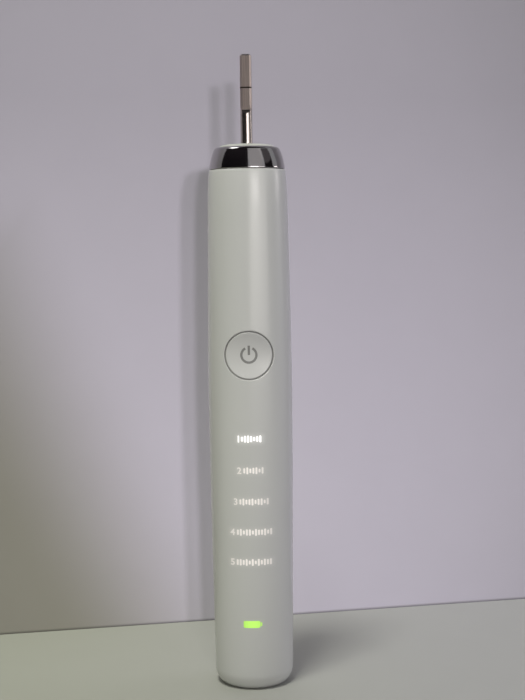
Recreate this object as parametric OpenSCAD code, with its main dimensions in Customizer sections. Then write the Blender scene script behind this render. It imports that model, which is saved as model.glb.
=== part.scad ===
// Sonic toothbrush handle: a sealed barrel with its drive, cell, board and charging coil inside.
// The barrel's axis is Z, the button faces -Y and the handle stands on z = 0.

/* [Barrel] */
// Height of the barrel, from the resting face to the collar's seat
barrel_h = 169.7; // [166:0.1:176]
// Largest radius of the barrel
belly_r = 13.8; // [13.6:0.05:14.6]
// Height of the largest radius
belly_z = 101; // [92:1:110]
// Radius just above the rounded foot
foot_r = 12.95; // [12.8:0.05:13.5]
// Radius of the flat under the foot
foot_flat_r = 9.95; // [9.85:0.05:11]
// Height of the foot's rounding
foot_round_h = 4.9; // [3.5:0.1:6]
// Radius of the barrel at the collar
top_r = 12.45; // [12.1:0.01:12.8]
// Height of the shoulder that rounds in under the collar
shoulder_h = 12.2; // [9:0.1:16]
// Radius lost over that shoulder
shoulder_drop = 0.4; // [0.3:0.05:0.9]
// Radius of the round on the barrel's upper edge
barrel_edge = 0.45; // [0.3:0.05:0.6]
// Wall of the barrel
wall = 2; // [1.7:0.1:2.2]
// Thickness of the deck that closes the barrel under the collar
deck_t = 3; // [2.4:0.1:3.6]

/* [Collar and seal] */
// Height of the collar's top above the barrel
collar_h = 7.2; // [6.6:0.1:7.8]
// Step in from the barrel to the foot of the collar
collar_step = 0.1; // [0.05:0.01:0.2]
// Radius lost from the collar's foot to its upper edge
collar_taper = 1.42; // [1:0.01:1.6]
// Swell of the collar's side
collar_swell = 0.2; // [0.1:0.05:0.3]
// Radius of the round on the collar's upper edge
collar_round = 1.4; // [1:0.1:1.5]
// Width of the collar's rim, seen from above
collar_rim = 1.75; // [1.7:0.05:2]
// Wall of the neck that carries the collar
neck_wall = 2.5; // [2.2:0.1:2.9]
// Seam between the barrel and the collar
collar_seam = 0.12; // [0.08:0.01:0.2]
// Rise of the domed seal above the collar
seal_rise = 1; // [0.8:0.05:1.4]

/* [Drive shaft] */
// Radius of the shaft where the brush head slides on
shaft_r = 1.95; // [1.87:0.01:2.05]
// Radius of the shaft at its tip, which tapers a little for the brush head
tip_r = 1.88; // [1.84:0.01:1.94]
// Radius of the shaft's journal, inside the bushes and the seal
journal_r = 2.15; // [2.1:0.05:2.35]
// Length of the shaft above the collar
shaft_reach = 29.9; // [27.5:0.1:32]
// Distance from the tip down to the shoulder of the front flat
flat_len = 19.1; // [17:0.1:21]
// Depth of the front flat from the axis
front_flat_y = 1.3; // [1.2:0.01:1.4]
// Depth of the side flats from the axis
side_flat_y = 1.79; // [1.72:0.01:1.84]
// Angle between the front flat and each side flat
side_flat_turn = 50; // [45:1:60]
// Distance from the tip to the cross groove
groove_from_tip = 10.7; // [9:0.1:12]
// Width of the cross groove
groove_w = 0.45; // [0.3:0.05:0.7]
// Depth of the cross groove
groove_d = 0.35; // [0.2:0.01:0.45]
// Chamfer at the tip
tip_chamfer = 0.5; // [0.3:0.05:0.6]
// Half swing of the shaft, in degrees
swing = 5.5; // [3:0.5:6]

/* [Button] */
// Height of the button's centre
button_z = 110.2; // [106:0.1:114]
// Radius of the button
button_r = 7.5; // [7:0.1:8]
// Gap round the button
button_gap = 0.4; // [0.3:0.05:0.5]
// Depth of the dish in the button
button_dish = 1.2; // [0.8:0.1:1.4]
// Travel of the button
button_travel = 0.4; // [0.3:0.05:0.5]
// Distance from the button's dished face to its flat back
button_t = 1.9; // [1.6:0.1:2.1]
// Radius of the button's plunger
plunger_r = 2.6; // [2:0.1:3.2]
// Thickness of the diaphragm
diaphragm_t = 0.6; // [0.4:0.1:0.7]
// Height of the tact switch's body on the board
switch_h = 1.1; // [0.9:0.1:1.4]
// Ledge that the diaphragm sits on
diaphragm_ledge = 0.8; // [0.7:0.1:1]
// Wall of the boss round the diaphragm
boss_wall = 1.5; // [1.2:0.1:1.8]

/* [Signs] */
// Height of the lowest mode sign
sign_z = 43; // [41:0.5:45]
// Distance between mode signs
sign_pitch = 10; // [9:0.1:10.5]
// Widths of the mode signs, from the lowest up
sign_widths = [13.8, 13.8, 11.2, 8.8, 8];
// Height of a mode sign
sign_h = 2.4; // [2:0.1:3]
// Height of the battery sign's centre
battery_sign_z = 22.3; // [21.5:0.1:24]
// Width of the battery sign
battery_sign_w = 6.1; // [5:0.1:7]

/* [Foot] */
// Width of the flat rim round the opening in the foot
cap_rim = 0.45; // [0.3:0.05:0.6]
// Height of the end cap's plug
cap_h = 6; // [5.5:0.1:7]
// Distance of the end cap above the resting face
cap_lift = 0.3; // [0.2:0.05:0.5]
// Radius of the round section of the end cap's sealing ring
o_ring_r = 0.8; // [0.7:0.05:0.9]

/* [Charging coil] */
// Height of the coil bobbin
bobbin_h = 8.6; // [7.5:0.1:9.5]
// Gap round the bobbin's flanges, out to the radius of the foot's opening
bobbin_gap = 0.9; // [0.6:0.1:1.3]
// Thickness of the bobbin's flanges and tube
bobbin_wall = 0.9; // [0.7:0.1:1.1]
// Radius of the ferrite rod
ferrite_r = 3.3; // [3:0.1:3.6]
// Thickness of the ferrite disc
ferrite_t = 1.6; // [1.2:0.1:2]

/* [Cell and board] */
// Radius of the cell
cell_r = 7; // [6.9:0.05:7.1]
// Length of the cell
cell_len = 50; // [48:0.5:52]
// Gap between the cell and the board
cell_gap = 0.4; // [0.3:0.05:0.5]
// Height of the cell's positive pole
pole_h = 0.9; // [0.6:0.1:1.2]
// Thickness of the cell's cushion
cushion_t = 2; // [1.5:0.1:2.5]
// Thickness of the board
board_t = 1; // [0.8:0.1:1.1]
// Width of the board
board_w = 11; // [10.6:0.1:11.2]
// Thickness of the welded tabs
tab_t = 0.25; // [0.2:0.05:0.3]

/* [Drive] */
// Gap round the chassis and the motor frame as they pass the foot's opening
frame_gap = 0.1; // [0.1:0.05:0.2]
// Wall of the motor frame
frame_wall = 1.1; // [1:0.05:1.2]
// Height of the laminated core
core_h = 15.5; // [14:0.5:17]
// Gap between the core's corners and the frame
core_gap = 0.6; // [0.4:0.1:0.8]
// Half depth of the core
core_d = 2.6; // [2.3:0.1:2.8]
// Thickness of the core's back and outer legs
core_leg = 2.1; // [1.8:0.1:2.2]
// Air gap between the core and the magnets
air_gap = 0.5; // [0.4:0.05:0.7]
// Height of the magnets
magnet_h = 2.4; // [2:0.1:2.8]
// Thickness of the armature's plate
yoke_t = 2; // [1.6:0.1:2.4]
// Free length of the torsion bars
bar_free = 16.5; // [14:0.5:18]
// Distance of the torsion bars from the shaft's axis
bar_x = 5; // [4.8:0.1:5.2]
// Thickness of the torsion bars
bar_t = 0.8; // [0.6:0.1:1]
// Width of the torsion bars
bar_w = 3.2; // [2.6:0.1:3.6]
// Thickness of the frame's front plate
plate_t = 6; // [5.5:0.1:6.5]
// Thickness of the damper ring round the front plate
damper_t = 2.1; // [1.8:0.1:2.4]

/* [Fits] */
// Clearance between the shaft and its bushes
shaft_fit = 0.04; // [0.02:0.01:0.06]
// Clearance between pieces that slip into each other
slip = 0.05; // [0.03:0.01:0.1]
// Clearance between soft or loose pieces and their walls
loose = 0.15; // [0.1:0.05:0.25]

/* [Hidden] */
$fn = 64;
over = 1;                         // how far a cut runs past what it cuts

// Barrel
foot_power = 1.85;                // how square the foot's rounding is
lower_power = 1.6;                // how the barrel narrows towards the foot
upper_power = 1.25;               // and towards the collar
barrel_steps = 34;
foot_steps = 10;
shoulder_z = barrel_h - shoulder_h;
upper_drop = belly_r - top_r - shoulder_drop;
deck_z = barrel_h - deck_t;
lip_z = cap_lift + cap_h;

// Collar and seal
collar_foot_r = top_r - collar_step;
collar_top_r = collar_foot_r - collar_taper;
collar_bore_r = collar_top_r - collar_rim;
collar_seat_r = collar_bore_r + 1.2;
collar_edge = 0.25;               // round at the collar's foot
neck_bore_r = collar_seat_r - slip - neck_wall;
collar_z = barrel_h + collar_seam;
collar_top_z = barrel_h + collar_h;
neck_top_z = collar_top_z - 1.9;
shaft_tip_z = collar_top_z + shaft_reach;
seal_top_r = 2.9;
dome_z = collar_top_z + 0.1;
dome_top_z = dome_z + seal_rise;
seat_z = dome_top_z + 0.1;

// Button, measured forwards from the barrel's axis
button_inset = 0.1;
button_body_r = barrel_r(button_z);
face_y = button_body_r - button_inset - button_dish;
side_y = sqrt(pow(button_body_r, 2) - pow(button_r, 2)) - button_inset;
face_sag = face_y - side_y;
face_across_r = (pow(button_r, 2) + pow(face_sag, 2)) / (2 * face_sag);
face_along_r = (pow(button_r, 2) + pow(button_dish, 2)) / (2 * button_dish);
button_back_y = face_y - button_t;
ledge_y = button_back_y - 1.15;
hole_r = button_r + button_gap;
pocket_r = hole_r + diaphragm_ledge;
boss_end_y = ledge_y - diaphragm_t - 0.25;
stem_front_y = ledge_y - diaphragm_t;
stem_r = 1.6;
switch_w = 6.2;
switch_top_y = stem_front_y - button_travel - 0.1;
board_front_y = switch_top_y - switch_h;
board_y = board_front_y - board_t;
switch_floor_y = board_front_y + 0.1;
stem_back_y = switch_floor_y + button_travel + slip;

// Foot and charging coil
cap_bore_r = foot_flat_r - cap_rim;
cap_r = cap_bore_r - 0.1;
ring_seat_r = cap_bore_r - 2 * o_ring_r - slip;
ring_z = cap_lift + 3.2;
bobbin_r = cap_bore_r - bobbin_gap;
bobbin_z = lip_z;
bobbin_top_z = bobbin_z + bobbin_h;
chassis_z = bobbin_top_z + ferrite_t;

// Cell
cell_y = cell_r + cell_gap - board_y;
end_plate_t = 2;
cushion_z = chassis_z + end_plate_t;
cell_z = cushion_z + cushion_t + tab_t;
cell_top_z = cell_z + cell_len;
pole_r = 2.7;
tab_w = 4;
tab_top_z = cell_top_z + pole_h;
bulkhead_z = tab_top_z + tab_t + 1.6;
bulkhead_t = 2;

// Drive, from the frame's base up to the deck
base_t = 2.2;
yoke_hub_h = 3;
hub_gap = 1.6;
hub_h = 4;
web_gap = 2.8;
web_t = 3;
clamp_h = 4.4;
deck_gap = 0.3;
frame_top_z = deck_z - deck_gap;
plate_z = frame_top_z - plate_t;
clamp_z = plate_z - clamp_h;
hub_top_z = clamp_z - bar_free;
hub_z = hub_top_z - hub_h;
yoke_z = hub_z - hub_gap - yoke_hub_h - yoke_t;
magnet_z = yoke_z - magnet_h;
pole_z = magnet_z - air_gap;
core_z = pole_z - core_h;
frame_z = core_z - base_t;
web_z = hub_top_z + web_gap;
shaft_foot_z = yoke_z;
frame_r = cap_bore_r - frame_gap;
frame_in_r = frame_r - frame_wall;
bush_r = 3.6;
hub_r = 3.4;
bar_grip = 2.6;                   // how far the bars reach into the hub and the clamp
screw_circle_r = frame_r - 2.3;
screw_turn = 38;
screw_x = screw_circle_r * cos(screw_turn);
screw_y = screw_circle_r * sin(screw_turn);
screw_block_h = 4;                // the chassis's top, which the screws hold
screw_r = 0.88;
screw_head_r = 1.6;
screw_head_h = 1.1;
core_w = sqrt(pow(frame_in_r, 2) - pow(core_d, 2)) - core_gap;
core_slot = 1.9;                  // half width of the core's middle leg
core_back = 3;
former_t = 0.5;
coil_out = 2.6;
groove_lip = 1.4;                 // the front plate's lips beside the damper ring
damper_in_r = barrel_r(frame_top_z - groove_lip) - wall - loose - damper_t;

// Board
board_z = chassis_z + 0.6;
board_end_z = min(button_z + 13, pole_z - 1);

// Radius of the barrel at a height
function barrel_r(z) =
    z < belly_z
    ? belly_r - (belly_r - foot_r) * pow((belly_z - z) / (belly_z - foot_round_h), lower_power)
    : belly_r - upper_drop * pow((z - belly_z) / (barrel_h - belly_z), upper_power)
        - shoulder_drop * pow(max(0, z - shoulder_z) / shoulder_h, 2);

// Points up the barrel between two heights, moved inwards
function barrel_points(z0, z1, inset, steps) =
    [for (i = [0 : steps]) let (z = z0 + (z1 - z0) * i / steps) [barrel_r(z) - inset, z]];

// Points round the foot, from the resting face up
function foot_points() =
    [for (i = [0 : foot_steps]) let (t = 90 - 90 * i / foot_steps)
        [foot_flat_r + (foot_r - foot_flat_r) * pow(cos(t), 2 / foot_power),
         foot_round_h * (1 - pow(sin(t), 2 / foot_power))]];

// Points on an elliptical arc
function arc_points(cx, cy, rx, ry, from, to, steps = 8) =
    [for (i = [0 : steps]) let (t = from + (to - from) * i / steps)
        [cx + rx * cos(t), cy + ry * sin(t)]];

// A ring between two heights
module ring(outer, inner, z, h) {
    translate([0, 0, z]) difference() {
        cylinder(r = outer, h = h);
        translate([0, 0, -over]) cylinder(r = inner, h = h + 2 * over);
    }
}

// A box given by its lowest and highest corners
module block(low, high) {
    translate(low) cube(high - low);
}

// A round bar that points to the front, between two distances from the axis
module to_front(r, from_y, to_y, z, x = 0) {
    translate([x, -from_y, z]) rotate([90, 0, 0]) cylinder(r = r, h = to_y - from_y);
}

// A solid barrel between two heights, moved inwards
module barrel_slice(z0, z1, inset, steps) {
    rotate_extrude() polygon(concat([[0, z0]], barrel_points(z0, z1, inset, steps), [[0, z1]]));
}

module barrel_outline() {
    edge_z = barrel_h - barrel_edge;
    rotate_extrude() polygon(concat(
        [[0, 0]], foot_points(),
        barrel_points(foot_round_h + over, edge_z, 0, barrel_steps),
        arc_points(barrel_r(edge_z) - barrel_edge, edge_z, barrel_edge, barrel_edge, 18, 90, 4),
        [[0, barrel_h]]));
}

module housing_shell() {
    color([0.93, 0.94, 0.92]) difference() {
        union() {
            difference() {
                barrel_outline();
                rotate_extrude() polygon(concat(
                    [[0, -over], [cap_bore_r, -over], [cap_bore_r, lip_z]],
                    barrel_points(lip_z + wall, deck_z, wall, barrel_steps),
                    [[0, deck_z]]));
            }
            intersection() {
                to_front(pocket_r + boss_wall, boss_end_y, belly_r, button_z);
                barrel_slice(button_z - 2 * pocket_r, button_z + 2 * pocket_r, wall / 2, barrel_steps);
            }
            translate([0, 0, deck_z + over])
                cylinder(r = collar_seat_r - slip, h = neck_top_z - deck_z - over);
        }
        to_front(hole_r, 0, belly_r + over, button_z);
        to_front(pocket_r, 0, ledge_y, button_z);
        translate([0, 0, deck_z - over])
            cylinder(r = neck_bore_r, h = neck_top_z - deck_z + 2 * over);
    }
}

module collar_ring() {
    side_steps = 10;
    upper_turn = 15;              // where the side meets the upper round
    inner_round = 0.15;
    foot_z = collar_z + collar_edge;
    side_h = collar_top_z - collar_round * (1 - sin(upper_turn)) - foot_z;
    color([0.62, 0.6, 0.6]) rotate_extrude() polygon(concat(
        [[collar_seat_r, collar_z]],
        arc_points(collar_foot_r - collar_edge, foot_z, collar_edge, collar_edge, -90, 0, 3),
        [for (i = [1 : side_steps - 1]) let (t = i / side_steps)
            [collar_foot_r - collar_taper * t + collar_swell * sin(180 * t), foot_z + side_h * t]],
        arc_points(collar_top_r - collar_round, collar_top_z - collar_round,
            collar_round, collar_round, upper_turn, 90),
        arc_points(collar_bore_r + inner_round, collar_top_z - inner_round,
            inner_round, inner_round, 90, 180, 3),
        [[collar_bore_r, neck_top_z + slip], [collar_seat_r, neck_top_z + slip]]));
}

module shaft_seal() {
    flange_r = collar_bore_r - loose;
    socket_r = 4.6;
    lip_t = 1.3;
    lip_chamfer = 0.2;
    bore_r = journal_r + shaft_fit;
    plug_r = neck_bore_r - slip;
    color([0.9, 0.89, 0.87]) rotate_extrude() polygon(concat(
        [[socket_r, deck_z + deck_gap], [plug_r, deck_z + deck_gap], [plug_r, neck_top_z],
         [flange_r, neck_top_z]],
        arc_points(seal_top_r, dome_z, flange_r - seal_top_r, seal_rise, 0, 90),
        [[bore_r + lip_chamfer, dome_top_z], [bore_r, dome_top_z - lip_chamfer],
         [bore_r, dome_top_z - lip_t], [socket_r, dome_top_z - 2 * lip_t]]));
}

module end_cap() {
    dish_d = 0.3;
    rim_w = 2.2;
    edge = 0.3;
    lead_in = 0.5;
    floor_t = 2;
    notch = [1.5, 1.6];
    groove_h = 2 * o_ring_r + 0.2;
    cup_r = cap_r - rim_w;
    low_z = ring_z - groove_h / 2;
    high_z = ring_z + groove_h / 2;
    color([0.9, 0.91, 0.89]) difference() {
        rotate_extrude() polygon([
            [0, cap_lift + dish_d], [cup_r, cap_lift + dish_d], [cup_r + dish_d, cap_lift],
            [cap_r - edge, cap_lift], [cap_r, cap_lift + edge], [cap_r, low_z], [ring_seat_r, low_z],
            [ring_seat_r, high_z], [cap_r, high_z], [cap_r, lip_z - lead_in], [cap_r - lead_in, lip_z],
            [cup_r, lip_z], [cup_r, cap_lift + floor_t], [0, cap_lift + floor_t]]);
        for (turn = [0 : 120 : 240]) rotate([0, 0, turn])
            block([-notch[0], cup_r - over, lip_z - notch[1]], [notch[0], cap_r + over, lip_z + over]);
    }
}

module end_cap_ring() {
    color([0.2, 0.2, 0.22]) translate([0, 0, ring_z]) rotate_extrude()
        translate([cap_bore_r - o_ring_r - slip / 2, 0]) circle(r = o_ring_r - slip);
}

module power_button() {
    color([0.88, 0.89, 0.87]) union() {
        difference() {
            to_front(button_r, button_back_y, belly_r, button_z);
            translate([0, face_across_r - face_y, button_z]) rotate_extrude()
                translate([face_across_r + face_along_r, 0]) circle(r = face_along_r);
        }
        to_front(plunger_r, ledge_y, button_back_y + over, button_z);
    }
}

module button_diaphragm() {
    bead_t = 0.2;
    rim_w = 1.6;
    pad_w = 0.4;
    color([0.75, 0.76, 0.75]) difference() {
        to_front(pocket_r - slip, ledge_y - diaphragm_t, ledge_y, button_z);
        difference() {
            to_front(pocket_r - rim_w, ledge_y - bead_t, ledge_y + over, button_z);
            to_front(plunger_r + pad_w, ledge_y - over, ledge_y + over, button_z);
        }
    }
}

module tact_switch() {
    foot = [0.9, 0.3, 0.8];
    color([0.2, 0.2, 0.2]) difference() {
        union() {
            block([-switch_w / 2, -switch_top_y, button_z - switch_w / 2],
                  [switch_w / 2, -board_front_y, button_z + switch_w / 2]);
            for (x = [-1, 1], z = [-1, 1])
                translate([x * switch_w / 2, -board_front_y - foot[1] / 2, button_z + z * switch_w / 4])
                    cube([2 * foot[0], foot[1], foot[2]], center = true);
        }
        to_front(stem_r + slip, switch_floor_y, switch_top_y + over, button_z);
    }
}

module switch_stem() {
    color([0.85, 0.4, 0.2]) to_front(stem_r, stem_back_y, stem_front_y, button_z);
}

// Where the lit signs are: middle height and width
function sign_rows() = [for (i = [0 : len(sign_widths) - 1]) [sign_z + i * sign_pitch, sign_widths[i]]];
light_low_z = battery_sign_z - 3.8;
light_high_z = sign_z + (len(sign_widths) - 1) * sign_pitch + sign_pitch / 2;
light_half_w = max(sign_widths) / 2 + 0.7;
battery_chamber_h = 5.2;

module mask_film() {
    film_t = 0.25;
    bleed = 0.3;
    half_h = sign_h / 2 + bleed;
    rows = concat(sign_rows(), [[battery_sign_z, battery_sign_w]]);
    color([0.12, 0.12, 0.13]) difference() {
        intersection() {
            difference() {
                barrel_slice(light_low_z, light_high_z, wall + loose, 12);
                barrel_slice(light_low_z - over, light_high_z + over, wall + loose + film_t, 12);
            }
            block([-light_half_w, -belly_r, light_low_z - over], [light_half_w, 0, light_high_z + over]);
        }
        for (row = rows)
            block([-row[1] / 2 - bleed, -belly_r, row[0] - half_h],
                  [row[1] / 2 + bleed, 0, row[0] + half_h]);
    }
}

module light_box() {
    film_room = 0.5;
    rib_t = 1.2;
    chamber_h = sign_pitch - 2 * rib_t;
    box_half_w = light_half_w - 0.2;
    low_end = battery_sign_z + battery_chamber_h / 2;
    color([0.96, 0.96, 0.96]) difference() {
        intersection() {
            barrel_slice(light_low_z, light_high_z, wall + loose + film_room, 12);
            block([-box_half_w, -belly_r, light_low_z], [box_half_w, -board_front_y, light_high_z]);
        }
        for (row = sign_rows())
            block([-row[1] / 2 - 0.2, -belly_r, row[0] - chamber_h / 2],
                  [row[1] / 2 + 0.2, 0, row[0] + chamber_h / 2]);
        block([-battery_sign_w / 2 - 0.8, -belly_r, battery_sign_z - battery_chamber_h / 2],
              [battery_sign_w / 2 + 0.8, 0, low_end]);
        block([-box_half_w + rib_t, -belly_r, low_end + rib_t],
              [box_half_w - rib_t, 0, sign_z - chamber_h / 2 - rib_t]);
    }
}

// One surface lamp: a base with a clear block on it
module lamp(x, z) {
    base = [1.6, 0.25, 1];
    lens = [1.1, 0.45, 0.9];
    translate([x, -board_front_y - base[1] / 2, z]) cube(base, center = true);
    translate([x, -board_front_y - base[1] - lens[1] / 2, z]) cube(lens, center = true);
}

module mode_lamps() {
    color([1, 0.95, 0.85]) for (row = sign_rows(), side = [-1, 1]) lamp(side * row[1] / 4, row[0]);
}

module battery_lamp() {
    color([0.6, 0.95, 0.3]) lamp(0, battery_sign_z);
}

module main_board() {
    color([0.1, 0.35, 0.2]) difference() {
        block([-board_w / 2, -board_front_y, board_z], [board_w / 2, -board_y, board_end_z]);
        for (side = [-1, 1], z = [board_z + 2.2, bulkhead_z + 12, board_end_z - 3])
            to_front(0.6, board_y - over, board_front_y + over, z, side * (board_w / 2 - 1.4));
        for (side = [-1, 1])
            translate([side * board_w / 2, -(board_y + board_front_y) / 2, bulkhead_z + 6.5])
                cube([1, 2 * over, 3], center = true);
    }
}

module control_chip() {
    chip = [5, 1, 6.4];
    leg = [0.8, 0.25, 0.35];
    leg_pitch = 0.85;
    chip_z = (bulkhead_z + bulkhead_t + frame_z - screw_block_h) / 2;
    color([0.12, 0.12, 0.13]) translate([0, -board_y, chip_z]) union() {
        translate([0, chip[1] / 2, 0]) cube(chip, center = true);
        for (side = [-1, 1], i = [-3 : 3])
            translate([side * (chip[0] + leg[0] - over / 10) / 2, leg[1] / 2, i * leg_pitch])
                cube(leg, center = true);
    }
}

// A small part that stands on the front of the board, given by its size and its middle
module front_part(size, x, z) {
    translate([x, -board_front_y - size[1] / 2, z]) cube(size, center = true);
}

module board_parts() {
    small = [0.8, 0.6, 1.6];
    choke = [4.4, 2.6, 4];
    gap = 1;
    row_z = light_high_z + gap + small[2] / 2;
    row_pitch = small[2] + gap;
    choke_z = row_z + row_pitch + small[2] / 2 + gap + choke[2] / 2;
    color([0.75, 0.7, 0.55]) union() {
        for (row = [0, 1], i = [-2 : 2]) front_part(small, i * (small[0] + gap), row_z + row * row_pitch);
        front_part(choke, 0, choke_z);
        for (side = [-1, 1]) front_part(small, side * (choke[0] / 2 + gap + small[0] / 2), choke_z);
    }
}

// The open-fronted tube that the chassis and the motor frame share
module trough(inner, z0, z1) {
    difference() {
        translate([0, 0, z0]) cylinder(r = frame_r, h = z1 - z0);
        translate([0, inner[1], z0 - over]) cylinder(r = inner[0], h = z1 - z0 + 2 * over);
        block([-frame_r - over, -frame_r - over, z0 - over], [frame_r + over, -board_y, z1 + over]);
        block([-board_w / 2 + 0.6, -frame_r, z0 - over], [board_w / 2 - 0.6, 0, z1 + over]);
    }
}

// A bar that cuts a window with round ends
module window_bar(size, depth) {
    intersection() {
        cube([size[0], size[1], depth], center = true);
        cylinder(r = size[1] / 2, h = depth, center = true);
    }
}

// A disc across the trough, cut flat behind the board
module floor_disc(r, z, h) {
    difference() {
        translate([0, 0, z]) cylinder(r = r, h = h);
        block([-r - over, -r - over, z - over], [r + over, -board_y, z + h + over]);
    }
}

module chassis() {
    pocket = [cell_r + loose, cell_y];
    window = [5, 12];
    window_pitch = window[1] + 4;
    window_count = floor((frame_z - chassis_z - window_pitch / 2) / window_pitch);
    clip_h = 6;
    clip_x = board_w / 2 + 0.65;
    color([0.82, 0.83, 0.85]) difference() {
        union() {
            trough(pocket, chassis_z, frame_z);
            floor_disc(frame_r, chassis_z, end_plate_t);
            floor_disc(frame_r - 0.5, bulkhead_z, bulkhead_t);
            floor_disc(frame_r, frame_z - screw_block_h, screw_block_h);
            for (side = [-1, 1], z = [chassis_z + 4, bulkhead_z, frame_z - 8]) intersection() {
                block([side * clip_x - 0.6, -board_front_y, z],
                      [side * clip_x + 0.6, -board_y + 1, z + clip_h]);
                translate([0, 0, z - over]) cylinder(r = frame_r, h = clip_h + 2 * over);
            }
        }
        for (i = [0 : window_count - 1]) let (z = chassis_z + window_pitch / 2 + 4 + i * window_pitch)
            translate([0, frame_r, z]) rotate([90, 0, 0]) window_bar(window, frame_r);
        block([-tab_w / 2 - 0.3, -frame_r, chassis_z - over],
              [tab_w / 2 + 0.3, -board_y + 1.6, frame_z + over]);
        for (side = [-1, 1]) translate([side * screw_x, screw_y, frame_z - screw_block_h - over])
            cylinder(r = screw_r + 0.02, h = screw_block_h + 2 * over);
    }
}

module battery_cell() {
    color([0.25, 0.45, 0.35]) translate([0, cell_y, 0]) rotate_extrude() polygon([
        [0, cell_z], [cell_r - 0.4, cell_z], [cell_r, cell_z + 0.4], [cell_r, cell_top_z - 0.6],
        [cell_r - 0.6, cell_top_z], [pole_r, cell_top_z], [pole_r, tab_top_z], [0, tab_top_z]]);
}

module cell_washer() {
    color([0.95, 0.95, 0.9]) translate([0, cell_y, 0]) ring(cell_r - 0.9, pole_r + 0.3, cell_top_z, 0.4);
}

module cell_cushion() {
    color([0.25, 0.25, 0.27]) translate([0, cell_y, 0]) ring(cell_r - 0.4, 2.2, cushion_z, cushion_t);
}

// A welded strip from a cell's end to the back of the board, folded upwards
module cell_tab(z) {
    block([-tab_w / 2, -board_y, z], [tab_w / 2, cell_y + pole_r - 0.4, z + tab_t]);
    block([-tab_w / 2, -board_y, z], [tab_w / 2, -board_y + tab_t, z + 1.6]);
}

module cell_tabs() {
    color([0.8, 0.8, 0.8]) {
        cell_tab(tab_top_z);
        difference() {
            block([-tab_w / 2, -board_y, cell_z - tab_t], [tab_w / 2, cell_y + pole_r - 0.4, cell_z]);
            block([-tab_w, -board_y + tab_t, cell_z], [tab_w, 0, cell_z + over]);
        }
    }
}

module coil_bobbin() {
    tube_r = ferrite_r + slip + bobbin_wall;
    color([0.15, 0.15, 0.16]) difference() {
        union() {
            translate([0, 0, bobbin_z]) cylinder(r = bobbin_r, h = bobbin_wall);
            translate([0, 0, bobbin_z]) cylinder(r = tube_r, h = bobbin_h);
            translate([0, 0, bobbin_top_z - bobbin_wall]) cylinder(r = bobbin_r, h = bobbin_wall);
        }
        translate([0, 0, bobbin_z + bobbin_wall]) cylinder(r = ferrite_r + slip, h = bobbin_h);
        for (side = [-1, 1]) block([side * 3 - 0.5, bobbin_r - 1.2, bobbin_top_z - bobbin_wall - over],
                                   [side * 3 + 0.5, bobbin_r + over, bobbin_top_z + over]);
    }
}

module charging_coil() {
    tube_r = ferrite_r + slip + bobbin_wall;
    color([0.72, 0.4, 0.2])
        ring(bobbin_r - 0.8, tube_r, bobbin_z + bobbin_wall, bobbin_h - 2 * bobbin_wall);
}

module ferrite_core() {
    color([0.3, 0.3, 0.32]) union() {
        translate([0, 0, bobbin_z + bobbin_wall + loose])
            cylinder(r = ferrite_r, h = bobbin_h - bobbin_wall - loose + ferrite_t / 2);
        difference() {
            translate([0, 0, bobbin_top_z]) cylinder(r = bobbin_r - 0.4, h = ferrite_t);
            for (side = [-1, 1]) block([side * 3 - 0.8, bobbin_r - 3, bobbin_top_z - over],
                                       [side * 3 + 0.8, bobbin_r, chassis_z + over]);
        }
    }
}

// A straight round lead between two heights
module lead(x, y, z0, z1, r = 0.35) {
    translate([x, y, z0]) cylinder(r = r, h = z1 - z0);
}

module coil_leads() {
    color([0.75, 0.2, 0.15]) for (side = [-1, 1])
        lead(side * 3, bobbin_r - 0.5, bobbin_top_z - bobbin_wall, chassis_z);
}

module motor_frame() {
    bar_room = 0.9;
    head_room = 0.15;
    color([0.35, 0.36, 0.38]) difference() {
        union() {
            trough([frame_in_r, 0], frame_z, plate_z + over);
            floor_disc(frame_r, frame_z, base_t);
            floor_disc(frame_in_r + frame_wall / 2, web_z, web_t);
            difference() {
                translate([0, 0, plate_z]) cylinder(r = frame_r, h = plate_t);
                ring(frame_r + over, damper_in_r - slip, plate_z + groove_lip, plate_t - 2 * groove_lip);
            }
        }
        translate([0, 0, web_z - over]) cylinder(r = bush_r, h = web_t + 2 * over);
        translate([0, 0, plate_z - over]) cylinder(r = bush_r, h = plate_t + 2 * over);
        for (side = [-1, 1])
            block([side * bar_x - bar_t / 2 - bar_room, -bar_w / 2 - bar_room, web_z - over],
                  [side * bar_x + bar_t / 2 + bar_room, bar_w / 2 + bar_room, web_z + web_t + over]);
        for (side = [-1, 1]) translate([side * screw_x, screw_y, frame_z - over]) {
            cylinder(r = screw_r + 0.12, h = base_t + 2 * over);
            translate([0, 0, over + base_t - screw_head_h])
                cylinder(r = screw_head_r + head_room, h = over + screw_head_h);
        }
        for (z = [core_z + core_h / 2, hub_z + hub_h / 2, (web_z + web_t + clamp_z) / 2])
            translate([0, frame_r, z]) rotate([90, 0, 0]) window_bar([7, 9], frame_r);
    }
}

module stator_core() {
    leg_in = core_w - core_leg;
    back_z = core_z + core_back;
    half = [[core_slot, pole_z], [core_slot, back_z], [leg_in, back_z], [leg_in, pole_z],
        [core_w, pole_z], [core_w, core_z]];
    color([0.5, 0.5, 0.52]) translate([0, core_d, 0]) rotate([90, 0, 0]) linear_extrude(2 * core_d)
        polygon(concat(half, [for (i = [len(half) - 1 : -1 : 0]) [-half[i][0], half[i][1]]]));
}

// A rectangular tube round the core's middle leg
module leg_tube(inner, outer, z0, z1) {
    leg = [2 * core_slot, 2 * core_d];
    translate([0, 0, z0]) linear_extrude(z1 - z0) difference() {
        square([leg[0] + 2 * outer, leg[1] + 2 * outer], center = true);
        square([leg[0] + 2 * inner, leg[1] + 2 * inner], center = true);
    }
}

former_z = core_z + core_back;
former_top_z = pole_z - 1.6;
flange_t = 0.7;

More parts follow.
